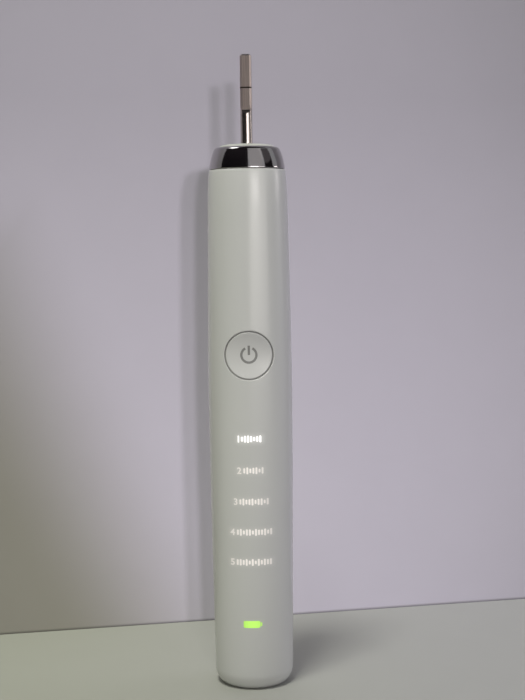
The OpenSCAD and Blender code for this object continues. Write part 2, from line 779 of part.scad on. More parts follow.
module coil_former() {
    flange_out = coil_out + 0.3;
    color([0.9, 0.88, 0.8]) union() {
        leg_tube(slip, former_t, former_z, former_top_z);
        leg_tube(slip, flange_out, former_z, former_z + flange_t);
        leg_tube(slip, flange_out, former_top_z - flange_t, former_top_z);
    }
}

module motor_coil() {
    color([0.7, 0.35, 0.15])
        leg_tube(former_t, coil_out, former_z + flange_t, former_top_z - flange_t);
}

module motor_leads() {
    lead_w = 0.6;
    coil_y = core_d + coil_out;
    color([0.2, 0.3, 0.7]) for (side = [-1, 1])
        translate([side * 1.6, -(board_y + coil_y) / 2, former_top_z - 3 * flange_t])
            cube([lead_w, board_y - coil_y, lead_w], center = true);
}

module frame_screws() {
    reach = screw_block_h - 0.6;
    head_z = frame_z + base_t - screw_head_h;
    slot = [2.4, 0.4, 0.5];
    color([0.6, 0.6, 0.62]) for (side = [-1, 1])
        translate([side * screw_x, screw_y, 0]) difference() {
            union() {
                translate([0, 0, frame_z - reach])
                    cylinder(r = screw_r, h = head_z - frame_z + reach + slip);
                translate([0, 0, head_z]) cylinder(r = screw_head_r, h = screw_head_h - slip);
            }
            translate([0, 0, frame_z + base_t]) cube([slot[0], slot[1], 2 * slot[2]], center = true);
        }
}

// Cuts a flat along the upper shaft, with a ramp up to it from below
module shaft_flat(turn, depth, foot_z) {
    ramp = 1.3;
    far = 2 * shaft_r;
    slope = ramp / (shaft_r - depth);
    rotate([0, 0, turn]) translate([-far, 0, 0]) rotate([90, 0, 90]) linear_extrude(2 * far) polygon([
        [-far, foot_z - slope * (far - shaft_r)], [-depth, foot_z + ramp],
        [-depth, shaft_tip_z + over], [-far, shaft_tip_z + over]]);
}

module drive_shaft() {
    flat_z = shaft_tip_z - flat_len;
    groove_z = shaft_tip_z - groove_from_tip;
    color([0.78, 0.77, 0.75]) difference() {
        union() {
            translate([0, 0, shaft_foot_z]) cylinder(r = journal_r, h = seat_z - shaft_foot_z);
            translate([0, 0, seat_z]) cylinder(r = shaft_r, h = flat_z - seat_z);
            translate([0, 0, flat_z]) cylinder(r1 = shaft_r, r2 = tip_r, h = flat_len - tip_chamfer);
            translate([0, 0, shaft_tip_z - tip_chamfer])
                cylinder(r1 = tip_r, r2 = tip_r - tip_chamfer, h = tip_chamfer);
        }
        shaft_flat(0, front_flat_y, flat_z);
        for (side = [-1, 1]) shaft_flat(side * side_flat_turn, side_flat_y, flat_z + 1);
        block([-2 * shaft_r, -2 * shaft_r, groove_z - groove_w / 2],
              [2 * shaft_r, -front_flat_y + groove_d, groove_z + groove_w / 2]);
    }
}

module armature_yoke() {
    yoke_gap = 0.4;
    color([0.45, 0.45, 0.47]) difference() {
        union() {
            intersection() {
                translate([0, 0, yoke_z]) cylinder(r = frame_in_r - yoke_gap, h = yoke_t);
                block([-frame_r, -core_d - 0.3, yoke_z], [frame_r, core_d + 0.3, yoke_z + yoke_t]);
            }
            translate([0, 0, yoke_z]) cylinder(r = hub_r, h = yoke_t + yoke_hub_h);
        }
        translate([0, 0, yoke_z - over]) cylinder(r = journal_r + slip, h = yoke_t + yoke_hub_h + 2 * over);
    }
}

module rotor_magnets() {
    magnet_w = core_leg + 0.6;
    split = 0.2;
    color([0.6, 0.6, 0.63]) for (side = [-1, 1], face = [-1, 1])
        translate([side * (core_w - magnet_w / 2), face * (core_d + split / 2) / 2, magnet_z + magnet_h / 2])
            cube([magnet_w, core_d - split / 2, magnet_h], center = true);
}

// The two slots that grip the torsion bars
module bar_slots(z, h) {
    for (side = [-1, 1])
        block([side * bar_x - bar_t / 2 - slip, -bar_w / 2 - slip, z],
              [side * bar_x + bar_t / 2 + slip, bar_w / 2 + slip, z + h]);
}

module spring_hub() {
    arm_w = bar_x + bar_t / 2 + 1.2;
    color([0.55, 0.56, 0.6]) difference() {
        union() {
            translate([0, 0, hub_z]) cylinder(r = hub_r, h = hub_h);
            block([-arm_w, -bar_w / 2 - 0.8, hub_z], [arm_w, bar_w / 2 + 0.8, hub_top_z]);
        }
        translate([0, 0, hub_z - over]) cylinder(r = journal_r + slip, h = hub_h + 2 * over);
        bar_slots(hub_top_z - bar_grip, bar_grip + over);
    }
}

module torsion_bars() {
    color([0.7, 0.72, 0.78]) for (side = [-1, 1])
        block([side * bar_x - bar_t / 2, -bar_w / 2, hub_top_z - bar_grip],
              [side * bar_x + bar_t / 2, bar_w / 2, clamp_z + bar_grip]);
}

module spring_clamp() {
    color([0.5, 0.5, 0.55]) difference() {
        translate([0, 0, clamp_z]) cylinder(r = bar_x + bar_t / 2 + 1.6, h = clamp_h);
        translate([0, 0, clamp_z - over]) cylinder(r = journal_r + 0.6, h = clamp_h + 2 * over);
        bar_slots(clamp_z - over, bar_grip + over);
    }
}

// A flanged bush that the shaft turns in, from its foot to the flange's seat and on past it
module bush(foot_z, seat_z, past) {
    flange = [bush_r + 0.9, 0.8];
    h = seat_z - foot_z + past;
    difference() {
        union() {
            translate([0, 0, foot_z]) cylinder(r = bush_r - slip, h = h);
            translate([0, 0, seat_z]) cylinder(r = flange[0], h = flange[1]);
        }
        translate([0, 0, foot_z - over]) cylinder(r = journal_r + shaft_fit, h = h + 2 * over);
    }
}

module front_bush() {
    color([0.8, 0.65, 0.35]) bush(plate_z + 0.5, frame_top_z, 2.5);
}

module rear_bush() {
    color([0.8, 0.65, 0.35]) bush(web_z, web_z + web_t, 0.8);
}

module damper_ring() {
    color([0.3, 0.3, 0.3]) ring(damper_in_r + damper_t, damper_in_r,
        plate_z + groove_lip + slip, plate_t - 2 * groove_lip - 2 * slip);
}

housing_shell();
collar_ring();
shaft_seal();
end_cap();
end_cap_ring();
power_button();
button_diaphragm();
tact_switch();
switch_stem();
mask_film();
light_box();
mode_lamps();
battery_lamp();
main_board();
control_chip();
board_parts();
chassis();
battery_cell();
cell_washer();
cell_cushion();
cell_tabs();
coil_bobbin();
charging_coil();
ferrite_core();
coil_leads();
motor_frame();
stator_core();
coil_former();
motor_coil();
motor_leads();
frame_screws();
drive_shaft();
armature_yoke();
rotor_magnets();
spring_hub();
torsion_bars();
spring_clamp();
front_bush();
rear_bush();
damper_ring();
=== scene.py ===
# %% [markdown]
# # A sonic toothbrush handle
#
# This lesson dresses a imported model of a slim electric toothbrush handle. The working
# pieces, their sizes and their joints are loaded as a fixed frame, and each cell adds one
# piece or one finish around them: the satin barrel, the dished button, the lit signs, the
# dark metal collar, the bare drive shaft and everything inside.

# %% Load the frame
import math

import bmesh
import bpy
from mathutils import Matrix, Quaternion, Vector


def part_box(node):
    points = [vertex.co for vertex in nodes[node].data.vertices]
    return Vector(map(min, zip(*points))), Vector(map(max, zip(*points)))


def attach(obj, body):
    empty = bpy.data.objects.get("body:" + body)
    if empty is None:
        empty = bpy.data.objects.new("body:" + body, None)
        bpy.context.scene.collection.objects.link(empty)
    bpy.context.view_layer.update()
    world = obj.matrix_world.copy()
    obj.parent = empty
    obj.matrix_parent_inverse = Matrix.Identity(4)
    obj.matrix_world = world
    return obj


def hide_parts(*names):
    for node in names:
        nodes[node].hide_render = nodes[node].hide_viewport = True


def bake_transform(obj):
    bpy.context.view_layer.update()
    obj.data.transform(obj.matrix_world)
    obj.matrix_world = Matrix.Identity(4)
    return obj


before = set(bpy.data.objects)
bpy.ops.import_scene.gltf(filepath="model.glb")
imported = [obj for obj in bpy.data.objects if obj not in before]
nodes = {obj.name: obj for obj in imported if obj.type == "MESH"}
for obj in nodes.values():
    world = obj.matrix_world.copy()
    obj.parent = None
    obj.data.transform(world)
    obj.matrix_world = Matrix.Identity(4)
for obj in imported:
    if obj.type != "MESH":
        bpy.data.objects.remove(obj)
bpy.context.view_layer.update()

scene = bpy.context.scene

# %% [markdown]
# ## Sizes
#
# The barrel is a turned shape whose radius follows one formula: it is widest a little above
# the middle, draws in towards the foot, and rounds in under the collar. The same formula
# places everything that lies on the barrel, so signs and glows follow its surface exactly.
# Heights and radii that the frame already holds are measured from it.

# %% The barrel's radius at any height
MM = 0.001
TAU = 2 * math.pi

_, housing_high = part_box("housing_shell")
collar_low, collar_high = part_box("collar_ring")
button_low, button_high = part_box("power_button")
seal_low, seal_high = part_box("shaft_seal")
shaft_low, shaft_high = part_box("drive_shaft")

belly_r, belly_z = housing_high.x, 101 * MM
foot_r, foot_flat_r, foot_round_h = 12.95 * MM, 9.95 * MM, 4.9 * MM
barrel_h, top_r = 169.7 * MM, 12.45 * MM
shoulder_h, shoulder_drop = 12.2 * MM, 0.4 * MM
upper_drop = belly_r - top_r - shoulder_drop
foot_power, lower_power, upper_power = 1.85, 1.6, 1.25


def barrel_r(z):
    """Radius of the barrel's outer surface at height z."""
    if z < foot_round_h:
        share = max(0.0, 1 - z / foot_round_h)
        bulge = (1 - share ** foot_power) ** (1 / foot_power)
        return foot_flat_r + (foot_r - foot_flat_r) * bulge
    if z < belly_z:
        down = ((belly_z - z) / (belly_z - foot_round_h)) ** lower_power
        return belly_r - (belly_r - foot_r) * down
    up = ((z - belly_z) / (barrel_h - belly_z)) ** upper_power
    over = max(0.0, z - (barrel_h - shoulder_h)) / shoulder_h
    return belly_r - upper_drop * up - shoulder_drop * over ** 2


def front_y(x, z, proud=0.0):
    """Where the barrel's front lies at x and z, moved outwards by proud."""
    return -math.sqrt((barrel_r(z) + proud) ** 2 - x ** 2)


for z in (0, 5, 50, 101, 150, 169.7):
    print(f"barrel radius at {z} mm: {barrel_r(z * MM) / MM:.2f} mm")

# %% [markdown]
# ## Camera
#
# The handle is seen from the front, from a little above the middle, with a moderate
# telephoto lens that keeps its sides nearly parallel. The script makes the camera itself,
# aims it along a direction and rolls it by less than a degree.

# %% Camera
def hang(name, data, place, direction, roll=0.0):
    """A camera or a lamp at a place, looking in a direction."""
    made = bpy.data.objects.new(name, data)
    scene.collection.objects.link(made)
    made.location = place
    made.rotation_mode = "QUATERNION"
    made.rotation_quaternion = direction.to_track_quat("-Z", "Y") @ Quaternion((0, 0, 1), roll)
    return made


line_of_sight = Vector((-0.0166, 0.9961, -0.0869))
camera = hang("camera", bpy.data.cameras.new("camera"), (0.0115, -0.4392, 0.1491), line_of_sight,
              roll=-0.0144)
camera.data.lens = 68.84
camera.data.sensor_width = 36
scene.camera = camera
print("camera at", tuple(round(c, 4) for c in camera.location), "with a", camera.data.lens, "mm lens")

# %% [markdown]
# ## Helpers for materials
#
# Every material is a small node tree. A few helpers keep the cells short: one adds a node
# with its values and links, others do sums and mix colours, and one makes a node group with
# named sockets. Groups hold the effects that several finishes share; the shader itself
# always stays in the material.

# %% Node helpers
def plug(tree, socket, value):
    """Links an input to another socket, or sets its plain value."""
    if isinstance(value, bpy.types.NodeSocket):
        tree.links.new(value, socket)
    elif socket.type == "RGBA":
        socket.default_value = (*value[:3], 1)
    else:
        socket.default_value = value


def feed(tree, node, **values):
    """Plugs values or sockets into the node's inputs of the same names."""
    for key, value in values.items():
        plug(tree, node.inputs[key.replace("_", " ")], value)


def add(tree, kind, **values):
    """One shader node. A value goes to the property or to the input of that name."""
    made = tree.nodes.new("ShaderNode" + kind)
    for key, value in values.items():
        if key in made.bl_rna.properties:
            setattr(made, key, value)
        else:
            feed(tree, made, **{key: value})
    return made


def maths(tree, operation, a, b=None, clamp=False):
    """A Math node; a and b are sockets or plain numbers. Returns its output."""
    made = add(tree, "Math", operation=operation, use_clamp=clamp)
    for socket, value in zip(made.inputs, (a, b)):
        if value is not None:
            plug(tree, socket, value)
    return made.outputs[0]


def mix_colour(tree, factor, a, b, blend="MIX"):
    """A Mix node for colours; factor, a and b are sockets or plain values."""
    made = add(tree, "Mix", data_type="RGBA", blend_type=blend)
    ends = {socket.identifier: socket for socket in (*made.inputs, *made.outputs)}
    for end, value in (("Factor_Float", factor), ("A_Color", a), ("B_Color", b)):
        plug(tree, ends[end], value)
    return ends["Result_Color"]


def ramp(tree, value, start, end, first=0.0, last=1.0, **values):
    """Runs from first to last while the value runs from start to end."""
    return add(tree, "MapRange", Value=value, From_Min=start, From_Max=end, To_Min=first, To_Max=last,
               **values).outputs["Result"]


def place_effect(tree, group, **values):
    """Puts a node group in a material, with its own values."""
    made = tree.nodes.new("ShaderNodeGroup")
    made.node_tree = group
    feed(tree, made, **values)
    return made


def new_material(name, **values):
    """A material with a Principled BSDF; plain values are set on the shader's own sockets."""
    material = bpy.data.materials.new(name)
    material.use_nodes = True
    shader = material.node_tree.nodes["Principled BSDF"]
    feed(material.node_tree, shader, **values)
    return material, material.node_tree, shader


KINDS = {"value": "NodeSocketFloat", "colour": "NodeSocketColor", "vector": "NodeSocketVector"}


def effect(name, inputs, outputs):
    """A new node group; inputs are (name, kind, default). Returns the tree and its ends."""
    group = bpy.data.node_groups.new(name, "ShaderNodeTree")
    for label, kind, default in inputs:
        socket = group.interface.new_socket(label, in_out="INPUT", socket_type=KINDS[kind])
        socket.default_value = default
    for label, kind in outputs:
        group.interface.new_socket(label, in_out="OUTPUT", socket_type=KINDS[kind])
    return group, group.nodes.new("NodeGroupInput").outputs, group.nodes.new("NodeGroupOutput")


print("node helpers ready")

# %% [markdown]
# ## Effects that the finishes share
#
# Five effects cover nearly everything here. A moulded surface has a fine texture from its
# tool and a slow drift in gloss where hands have been. A machined surface has fine lines in
# one direction. A wound coil and a stack of sheets have round bands at an even pitch, with
# painted shade darkening the gaps between them. A colour is never perfectly even. Light
# pools softly round a lamp behind a translucent wall.
# All of them read Object coordinates, in metres, so they keep their real scale on every
# piece.

# %% Shared effects
def object_place(tree):
    """The place on the piece, in metres."""
    return add(tree, "TexCoord").outputs["Object"]


def vary(tree, base, noise, amount):
    """A base value that a noise moves up and down."""
    swing = maths(tree, "MULTIPLY", maths(tree, "SUBTRACT", noise.outputs["Fac"], 0.5), amount)
    return maths(tree, "ADD", base, swing, clamp=True)


def relief(tree, height, strength, distance):
    """A normal bent by a height."""
    return add(tree, "Bump", Height=height, Strength=strength, Distance=distance).outputs["Normal"]


# fine texture and slow change of gloss
moulded_grain, get, end = effect(
    "moulded_grain",
    [("Grain Scale", "value", 2500), ("Depth", "value", 0.05), ("Roughness", "value", 0.4),
     ("Gloss Drift", "value", 0.06)],
    [("Roughness", "value"), ("Normal", "vector")])
where = object_place(moulded_grain)
pits = add(moulded_grain, "TexNoise", Vector=where, Scale=get["Grain Scale"], Detail=3.0, Roughness=0.6)
patches = add(moulded_grain, "TexNoise", Vector=where, Scale=90.0, Detail=2.0)
feed(moulded_grain, end, Roughness=vary(moulded_grain, get["Roughness"], patches, get["Gloss Drift"]),
     Normal=relief(moulded_grain, pits.outputs["Fac"], get["Depth"], 0.00004))

# fine parallel lines left by a cutter or a grinding belt
tool_lines, get, end = effect(
    "tool_lines",
    [("Squeeze", "vector", (1, 1, 0.02)), ("Line Scale", "value", 9000), ("Depth", "value", 0.2),
     ("Roughness", "value", 0.25), ("Spread", "value", 0.12)],
    [("Roughness", "value"), ("Normal", "vector"), ("Lines", "value")])
squeezed = add(tool_lines, "VectorMath", operation="MULTIPLY")
for socket, value in zip(squeezed.inputs, (object_place(tool_lines), get["Squeeze"])):
    plug(tool_lines, socket, value)
lines = add(tool_lines, "TexNoise", Vector=squeezed.outputs[0], Scale=get["Line Scale"], Detail=4.0,
            Roughness=0.65)
feed(tool_lines, end, Roughness=vary(tool_lines, get["Roughness"], lines, get["Spread"]),
     Normal=relief(tool_lines, lines.outputs["Fac"], get["Depth"], 0.00003), Lines=lines.outputs["Fac"])

# round bands at an even pitch: turns of wire, or sheets in a stack; Crown is high on the bands and low in the
# gaps, where the finish paints shade
even_bands, get, end = effect(
    "even_bands",
    [("Along", "vector", (0, 0, 1)), ("Pitch", "value", 0.0003), ("Depth", "value", 0.6)],
    [("Normal", "vector"), ("Crown", "value")])
projected = add(even_bands, "VectorMath", operation="DOT_PRODUCT")
for socket, value in zip(projected.inputs, (object_place(even_bands), get["Along"])):
    plug(even_bands, socket, value)
turns = maths(even_bands, "DIVIDE", projected.outputs["Value"], get["Pitch"])
wave = maths(even_bands, "SINE", maths(even_bands, "MULTIPLY", turns, math.pi))
crown = maths(even_bands, "ABSOLUTE", wave)
feed(even_bands, end, Crown=crown, Normal=relief(even_bands, crown, get["Depth"], 0.0001))

# two tones mixed by soft clouds
uneven_tone, get, end = effect(
    "uneven_tone",
    [("Light Tone", "colour", (1, 1, 1, 1)), ("Dark Tone", "colour", (0.8, 0.8, 0.8, 1)),
     ("Cloud Scale", "value", 150)],
    [("Colour", "colour")])
clouds = add(uneven_tone, "TexNoise", Vector=object_place(uneven_tone), Scale=get["Cloud Scale"], Detail=3.0)
feed(uneven_tone, end,
     Colour=mix_colour(uneven_tone, clouds.outputs["Fac"], get["Dark Tone"], get["Light Tone"]))

# a soft pool of light round a lit sign on the front of the barrel
light_pool, get, end = effect(
    "light_pool",
    [("Height", "value", 0.05), ("Half Width", "value", 0.004), ("Half Height", "value", 0.001),
     ("Reach", "value", 0.002)],
    [("Pool", "value")])
apart = add(light_pool, "SeparateXYZ", Vector=object_place(light_pool)).outputs
offsets = ((apart["X"], get["Half Width"]),
           (maths(light_pool, "SUBTRACT", apart["Z"], get["Height"]), get["Half Height"]))
beside, above = (maths(light_pool, "MAXIMUM", maths(
    light_pool, "SUBTRACT", maths(light_pool, "ABSOLUTE", offset), half), 0) for offset, half in offsets)
squares = [maths(light_pool, "MULTIPLY", side, side) for side in (beside, above)]
distance = maths(light_pool, "SQRT", maths(light_pool, "ADD", *squares))
fade = maths(light_pool, "SUBTRACT", 1, maths(light_pool, "DIVIDE", distance, get["Reach"]), clamp=True)
in_front = maths(light_pool, "LESS_THAN", apart["Y"], 0)
feed(light_pool, end,
     Pool=maths(light_pool, "MULTIPLY", maths(light_pool, "MULTIPLY", fade, fade), in_front))
print("effects:", ", ".join(group.name for group in bpy.data.node_groups))

# %% [markdown]
# ## Families of finishes
#
# Most finishes belong to a family: moulded, machined, or wound and layered. One function
# for each family sets the tones and the scale of its texture, so a new finish is one line.

# %% Families
def moulded(name, light, dark, roughness=0.42, grain=2500, depth=0.08, drift=0.1, clouds=180, **values):
    """Plastic, rubber, foam, ink or coated metal: two close tones and a fine grain."""
    material, tree, shader = new_material(name, **values)
    skin = place_effect(tree, moulded_grain, Grain_Scale=grain, Depth=depth, Roughness=roughness,
                        Gloss_Drift=drift).outputs
    tone = place_effect(tree, uneven_tone, Light_Tone=light, Dark_Tone=dark, Cloud_Scale=clouds)
    feed(tree, shader, Roughness=skin["Roughness"], Normal=skin["Normal"], Base_Color=tone.outputs["Colour"])
    return material


def machined(name, light, dark, squeeze=(1, 1, 0.02), roughness=0.3, scale=7000, depth=0.15, spread=0.15):
    """Bare metal with fine lines; squeeze stretches them along the cutter's path."""
    material, tree, shader = new_material(name, Metallic=1.0)
    lines = place_effect(tree, tool_lines, Squeeze=squeeze, Line_Scale=scale, Depth=depth,
                         Roughness=roughness, Spread=spread).outputs
    feed(tree, shader, Roughness=lines["Roughness"], Normal=lines["Normal"],
         Base_Color=mix_colour(tree, lines["Lines"], dark, light))
    return material


def banded(name, light, dark, along, pitch, roughness):
    """Wire wound on a coil, or thin sheets in a stack: painted shade darkens the gaps between light crowns.
    """
    material, tree, shader = new_material(name, Metallic=1.0)
    bands = place_effect(tree, even_bands, Along=along, Pitch=pitch).outputs
    gloss = place_effect(tree, moulded_grain, Grain_Scale=3000, Roughness=roughness, Gloss_Drift=0.12)
    # the base colour carries painted shade: dark in the gaps, light on the crowns
    feed(tree, shader, Roughness=gloss.outputs["Roughness"], Normal=bands["Normal"],
         Base_Color=mix_colour(tree, bands["Crown"], dark, light))
    return material


def lamp_lens(name, tone, light, strength):
    """A small clear lens over a lamp that is on."""
    material = moulded(name, tone, [c * 0.92 for c in tone], roughness=0.2, grain=5000)
    tree = material.node_tree
    feed(tree, tree.nodes["Principled BSDF"], Emission_Color=light, Emission_Strength=strength)
    return material


print("families ready")

# %% [markdown]
# ## Floor and backdrop
#
# The handle stands on a pale table in front of a pale card that leans away a little to the
# right. Both are plain planes with soft paper-like grain, and both have light and shade
# painted into their colour: a greenish tint of painted light on the table's left, and on the
# card a painted shadow on its lower left, painted shade towards its top and a painted line
# of shade along its foot. They are stage, not part of the object. Seen from behind, the card
# is clear and lets a lamp's light through, so it neither hides nor darkens the handle's back.

# %% Floor and backdrop
def stage_piece(name, bm, material):
    """A piece of the stage from a finished bmesh."""
    mesh = bpy.data.meshes.new(name)
    bm.to_mesh(mesh)
    bm.free()
    mesh.materials.append(material)
    prop = bpy.data.objects.new(name, mesh)
    scene.collection.objects.link(prop)
    return prop


def stage_plane(name, width, height, place, material):
    """A flat plane of the given size, with its place applied to the mesh."""
    bm = bmesh.new()
    bmesh.ops.create_grid(bm, x_segments=1, y_segments=1, size=0.5)
    bmesh.ops.scale(bm, vec=(width, height, 1), verts=bm.verts)
    bmesh.ops.transform(bm, matrix=place, verts=bm.verts)
    return stage_piece(name, bm, material)


# slant of the edge of the painted shadow and tint; height and darkness of the painted line of shade along the
# card's foot
painted_edge_slant = 0.45
crease_shade_h, crease_shade_level = 1 * MM, 0.3


def painted_light_paper(name, light_tone, painted_tone, across, rise=None, top_shade_level=1.0):
    """Matt paper with painted light and shade: a painted tone on one side, and with a rise painted shade
    towards the top and a painted line of shade along the foot.
    """
    material, tree, shader = new_material(name, Roughness=0.85, Specular_IOR_Level=0.25)
    apart = add(tree, "SeparateXYZ", Vector=object_place(tree)).outputs
    # painted light and shade: the painted tone fills the left side below a slanting edge, and with a rise the
    # light tone takes over higher up
    slanted = maths(tree, "ADD", apart["X"], maths(tree, "MULTIPLY", apart["Z"], painted_edge_slant))
    lit = ramp(tree, slanted, *across, interpolation_type="SMOOTHSTEP")
    if rise:
        lit = maths(tree, "MAXIMUM", lit, ramp(tree, apart["Z"], *rise, interpolation_type="SMOOTHSTEP"))
    tone = mix_colour(tree, lit, painted_tone, light_tone)
    if rise:
        # painted shade darkening the card towards its top, and a painted line of shade along its foot where
        # it meets the table
        top_shade = ramp(tree, apart["Z"], 0, 2 * rise[0], 1.0, top_shade_level)
        rim = ramp(tree, apart["Z"], 0, crease_shade_h, crease_shade_level)
        tone = mix_colour(tree, maths(tree, "MULTIPLY", top_shade, rim), (0, 0, 0), tone)
    grain = place_effect(tree, uneven_tone, Light_Tone=(1, 1, 1), Dark_Tone=(0.97, 0.97, 0.97),
                         Cloud_Scale=60)
    feed(tree, shader, Base_Color=mix_colour(tree, 1, tone, grain.outputs["Colour"], "MULTIPLY"))
    return material, tree, shader


# the table's left side carries a painted greenish tint of light
table_paper_painted_light, _, _ = painted_light_paper(
    "table_paper_painted_light", (0.325, 0.325, 0.322), (0.325, 0.335, 0.28), (-0.1, 0.1))
stage_plane("table", 4, 4, Matrix.Identity(4), table_paper_painted_light)

# the card carries a painted shadow on its lower left, painted shade towards its top and a painted line of
# shade along its foot
card_paper_painted_shade, tree, shader = painted_light_paper(
    "card_paper_painted_shade", (0.675, 0.64, 0.74), (0.315, 0.305, 0.265), (-0.076, 0.002), (0.1, 0.17), 0.62)
one_sided = add(tree, "MixShader", Fac=maths(
    tree, "MAXIMUM", add(tree, "NewGeometry").outputs["Backfacing"],
    add(tree, "LightPath").outputs["Is Shadow Ray"]))
tree.links.new(shader.outputs[0], one_sided.inputs[1])
tree.links.new(add(tree, "BsdfTransparent").outputs[0], one_sided.inputs[2])
tree.links.new(one_sided.outputs[0], tree.nodes["Material Output"].inputs["Surface"])

card_left, card_right = Vector((-0.0984, 0.0514, 0)), Vector((0.1006, 0.0927, 0))
card_turn = math.atan2(card_right.y - card_left.y, card_right.x - card_left.x)
card_h = 0.7
card_place = (Matrix.Translation((card_left + card_right) / 2 + Vector((0, 0, card_h / 2)))
              @ Matrix.Rotation(card_turn, 4, "Z") @ Matrix.Rotation(math.pi / 2, 4, "X"))
card = stage_plane("card", 1.5, card_h, card_place, card_paper_painted_shade)
print("card leans", round(math.degrees(card_turn), 1), "degrees; its normal is",
      tuple(round(c, 2) for c in card.data.polygons[0].normal))

# %% [markdown]
# ## Light
#
# A pale world gives an even base level. Two small spots close together, a little to the
# right, light the front and cast a double shadow on the card. A broad greenish light and a
# high window stand to the left, and a lilac fill to the right, which gives the barrel its
# two tints. One more soft light shows the back.
#
# Gloss needs something bright and something dark to reflect. A low bright panel ends in a
# sharp edge on its right, which makes the long highlight down the barrel. A high panel and
# a dimmer one at its right end light the collar, a ceiling and two narrow strips give its
# glints and the one on the shaft's side flat, and black screens give the dark bands. Only
# mirrors see them.

# %% World and lamps
scene.view_settings.view_transform = "Standard"
scene.world = bpy.data.worlds.new("pale_day")
scene.world.use_nodes = True
sky = scene.world.node_tree
base_level, seen_level = 0.1, 0.25
seen = add(sky, "LightPath").outputs
pale = maths(sky, "MULTIPLY", maths(sky, "MAXIMUM", seen["Is Camera Ray"], seen["Is Glossy Ray"]), seen_level)
feed(sky, sky.nodes["Background"], Color=(0.97, 0.98, 1.0), Strength=maths(sky, "ADD", pale, base_level))
middle = Vector((0, 0, 0.12))


def around(azimuth, elevation, distance):
    """A point round the handle's middle; azimuth 0 is in front, positive to the right."""
    turn, rise = math.radians(azimuth), math.radians(elevation)
    flat = distance * math.cos(rise)
    return middle + Vector((flat * math.sin(turn), -flat * math.cos(turn), distance * math.sin(rise)))


def softbox(name, place, width, height, level, colour, mirrored, lights):
    """A rectangular lamp that lights a white wall at the handle's middle to the given level."""
    data = bpy.data.lights.new(name, "AREA")
    data.shape = "RECTANGLE"
    data.size, data.size_y = width, height
    data.energy, data.color = level * math.pi ** 2 * (place - middle).length ** 2, colour
    lamp = hang(name, data, place, middle - place)
    lamp.visible_camera, lamp.visible_glossy, lamp.visible_diffuse = False, mirrored, lights


def spot(name, place):
    """A small spot on the handle's front."""
    data = bpy.data.lights.new(name, "SPOT")
    data.energy = spot_level * 4 * math.pi ** 2 * (place - middle).length ** 2
    data.color = (1.0, 0.95, 1.0)
    data.shadow_soft_size, data.spot_size, data.spot_blend = spot_r, math.radians(spot_cone), 1
    lamp = hang(name, data, place, spot_aim - place)
    lamp.visible_camera = lamp.visible_glossy = False


spot_aim, spot_level, spot_cone, spot_r = Vector((-0.006, 0, 0.135)), 0.22, 29, 0.018
spot("near_spot", around(6.5, 7, 0.85))
spot("far_spot", around(11, 8, 0.85))
for lamp in (("left_light", around(-48, 8, 1.1), 1.0, 0.9, 0.105, (0.94, 1.0, 0.55)),
             ("left_window", around(-25, 72, 1.2), 0.25, 0.25, 0.85, (1.0, 1.0, 0.93)),
             ("back_light", around(190, 25, 1.1), 1.0, 1.0, 0.4, (1.0, 1.0, 1.0)),
             ("right_fill", around(112, 10, 1.1), 0.6, 0.6, 0.32, (0.88, 0.85, 1.0))):
    softbox(*lamp, mirrored=False, lights=True)
for lamp in (("ceiling", around(-75, 62, 1.2), 0.38, 0.38, 0.2, (1.0, 1.0, 0.97)),
             ("low_panel", around(20, 4.7, 0.85), 1.2, 0.29, 0.18, (1.0, 0.93, 0.9)),
             ("high_panel", around(30, 32, 1.15), 0.85, 0.75, 0.015, (1.0, 0.8, 0.74)),
             ("foot_strip", around(24, 10.8, 0.8), 0.3, 0.07, 0.06, (1.0, 0.96, 0.95)),
             ("side_strip", around(98.5, 10.8, 0.85), 0.2, 0.07, 0.02, (1.0, 0.92, 0.9)),
             ("end_panel", around(69, 28, 0.85), 0.46, 0.66, 0.011, (1.0, 0.92, 0.95))):
    softbox(*lamp, mirrored=True, lights=False)

# %% Black screens
flag_cloth, _, _ = new_material("flag_cloth", Base_Color=(0.012, 0.01, 0.012), Roughness=1.0,
                                Specular_IOR_Level=0.0)


def mirror_only(name, bm):
    """Black cloth on a finished bmesh, which only mirrors see."""
    flag = stage_piece(name, bm, flag_cloth)
    flag.visible_camera = flag.visible_diffuse = flag.visible_shadow = flag.visible_transmission = False


flag_low, flag_distance = -7, 0.8
for name, from_azimuth, to_azimuth, height in (("flag_left", -95, 5, 1.6), ("flag_right", 58, 88, 0.9)):
    bm = bmesh.new()
    foot = bm.verts.new(around(from_azimuth, flag_low, flag_distance))
    head = bm.verts.new(foot.co + Vector((0, 0, height)))
    bmesh.ops.spin(bm, geom=[foot, head, bm.edges.new((foot, head))], cent=(0, 0, 0), axis=(0, 0, 1),
                   angle=math.radians(to_azimuth - from_azimuth), steps=20)
    mirror_only(name, bm)

flag_top_z, flag_top_r = 1.35, 0.9
bm = bmesh.new()
bmesh.ops.create_circle(bm, cap_ends=True, segments=32, radius=flag_top_r,
                        matrix=Matrix.Translation((0, 0, flag_top_z)))
mirror_only("flag_top", bm)

# %% [markdown]
# ## Making pieces
#
# Most pieces of a turned product start on a lathe: a profile of a few points is spun round
# the axis. One helper does the spinning, one gives the points of a round edge, and one turns
# the finished bmesh into an object that rides on a body of the frame.

# %% Piece helpers
def arc(centre, radii, start, end, steps):
    """Points on an elliptical arc; angles in degrees from the first axis."""
    turns = [math.radians(start + (end - start) * i / steps) for i in range(steps + 1)]
    return [(centre[0] + radii[0] * math.cos(t), centre[1] + radii[1] * math.sin(t)) for t in turns]


def clean(bm, dist=1e-7):
    """Joins points that meet, drops edges without a face and turns the normals outwards."""
    bmesh.ops.remove_doubles(bm, verts=bm.verts, dist=dist)
    bmesh.ops.delete(bm, geom=[e for e in bm.edges if not e.link_faces], context="EDGES")
    bmesh.ops.recalc_face_normals(bm, faces=bm.faces)


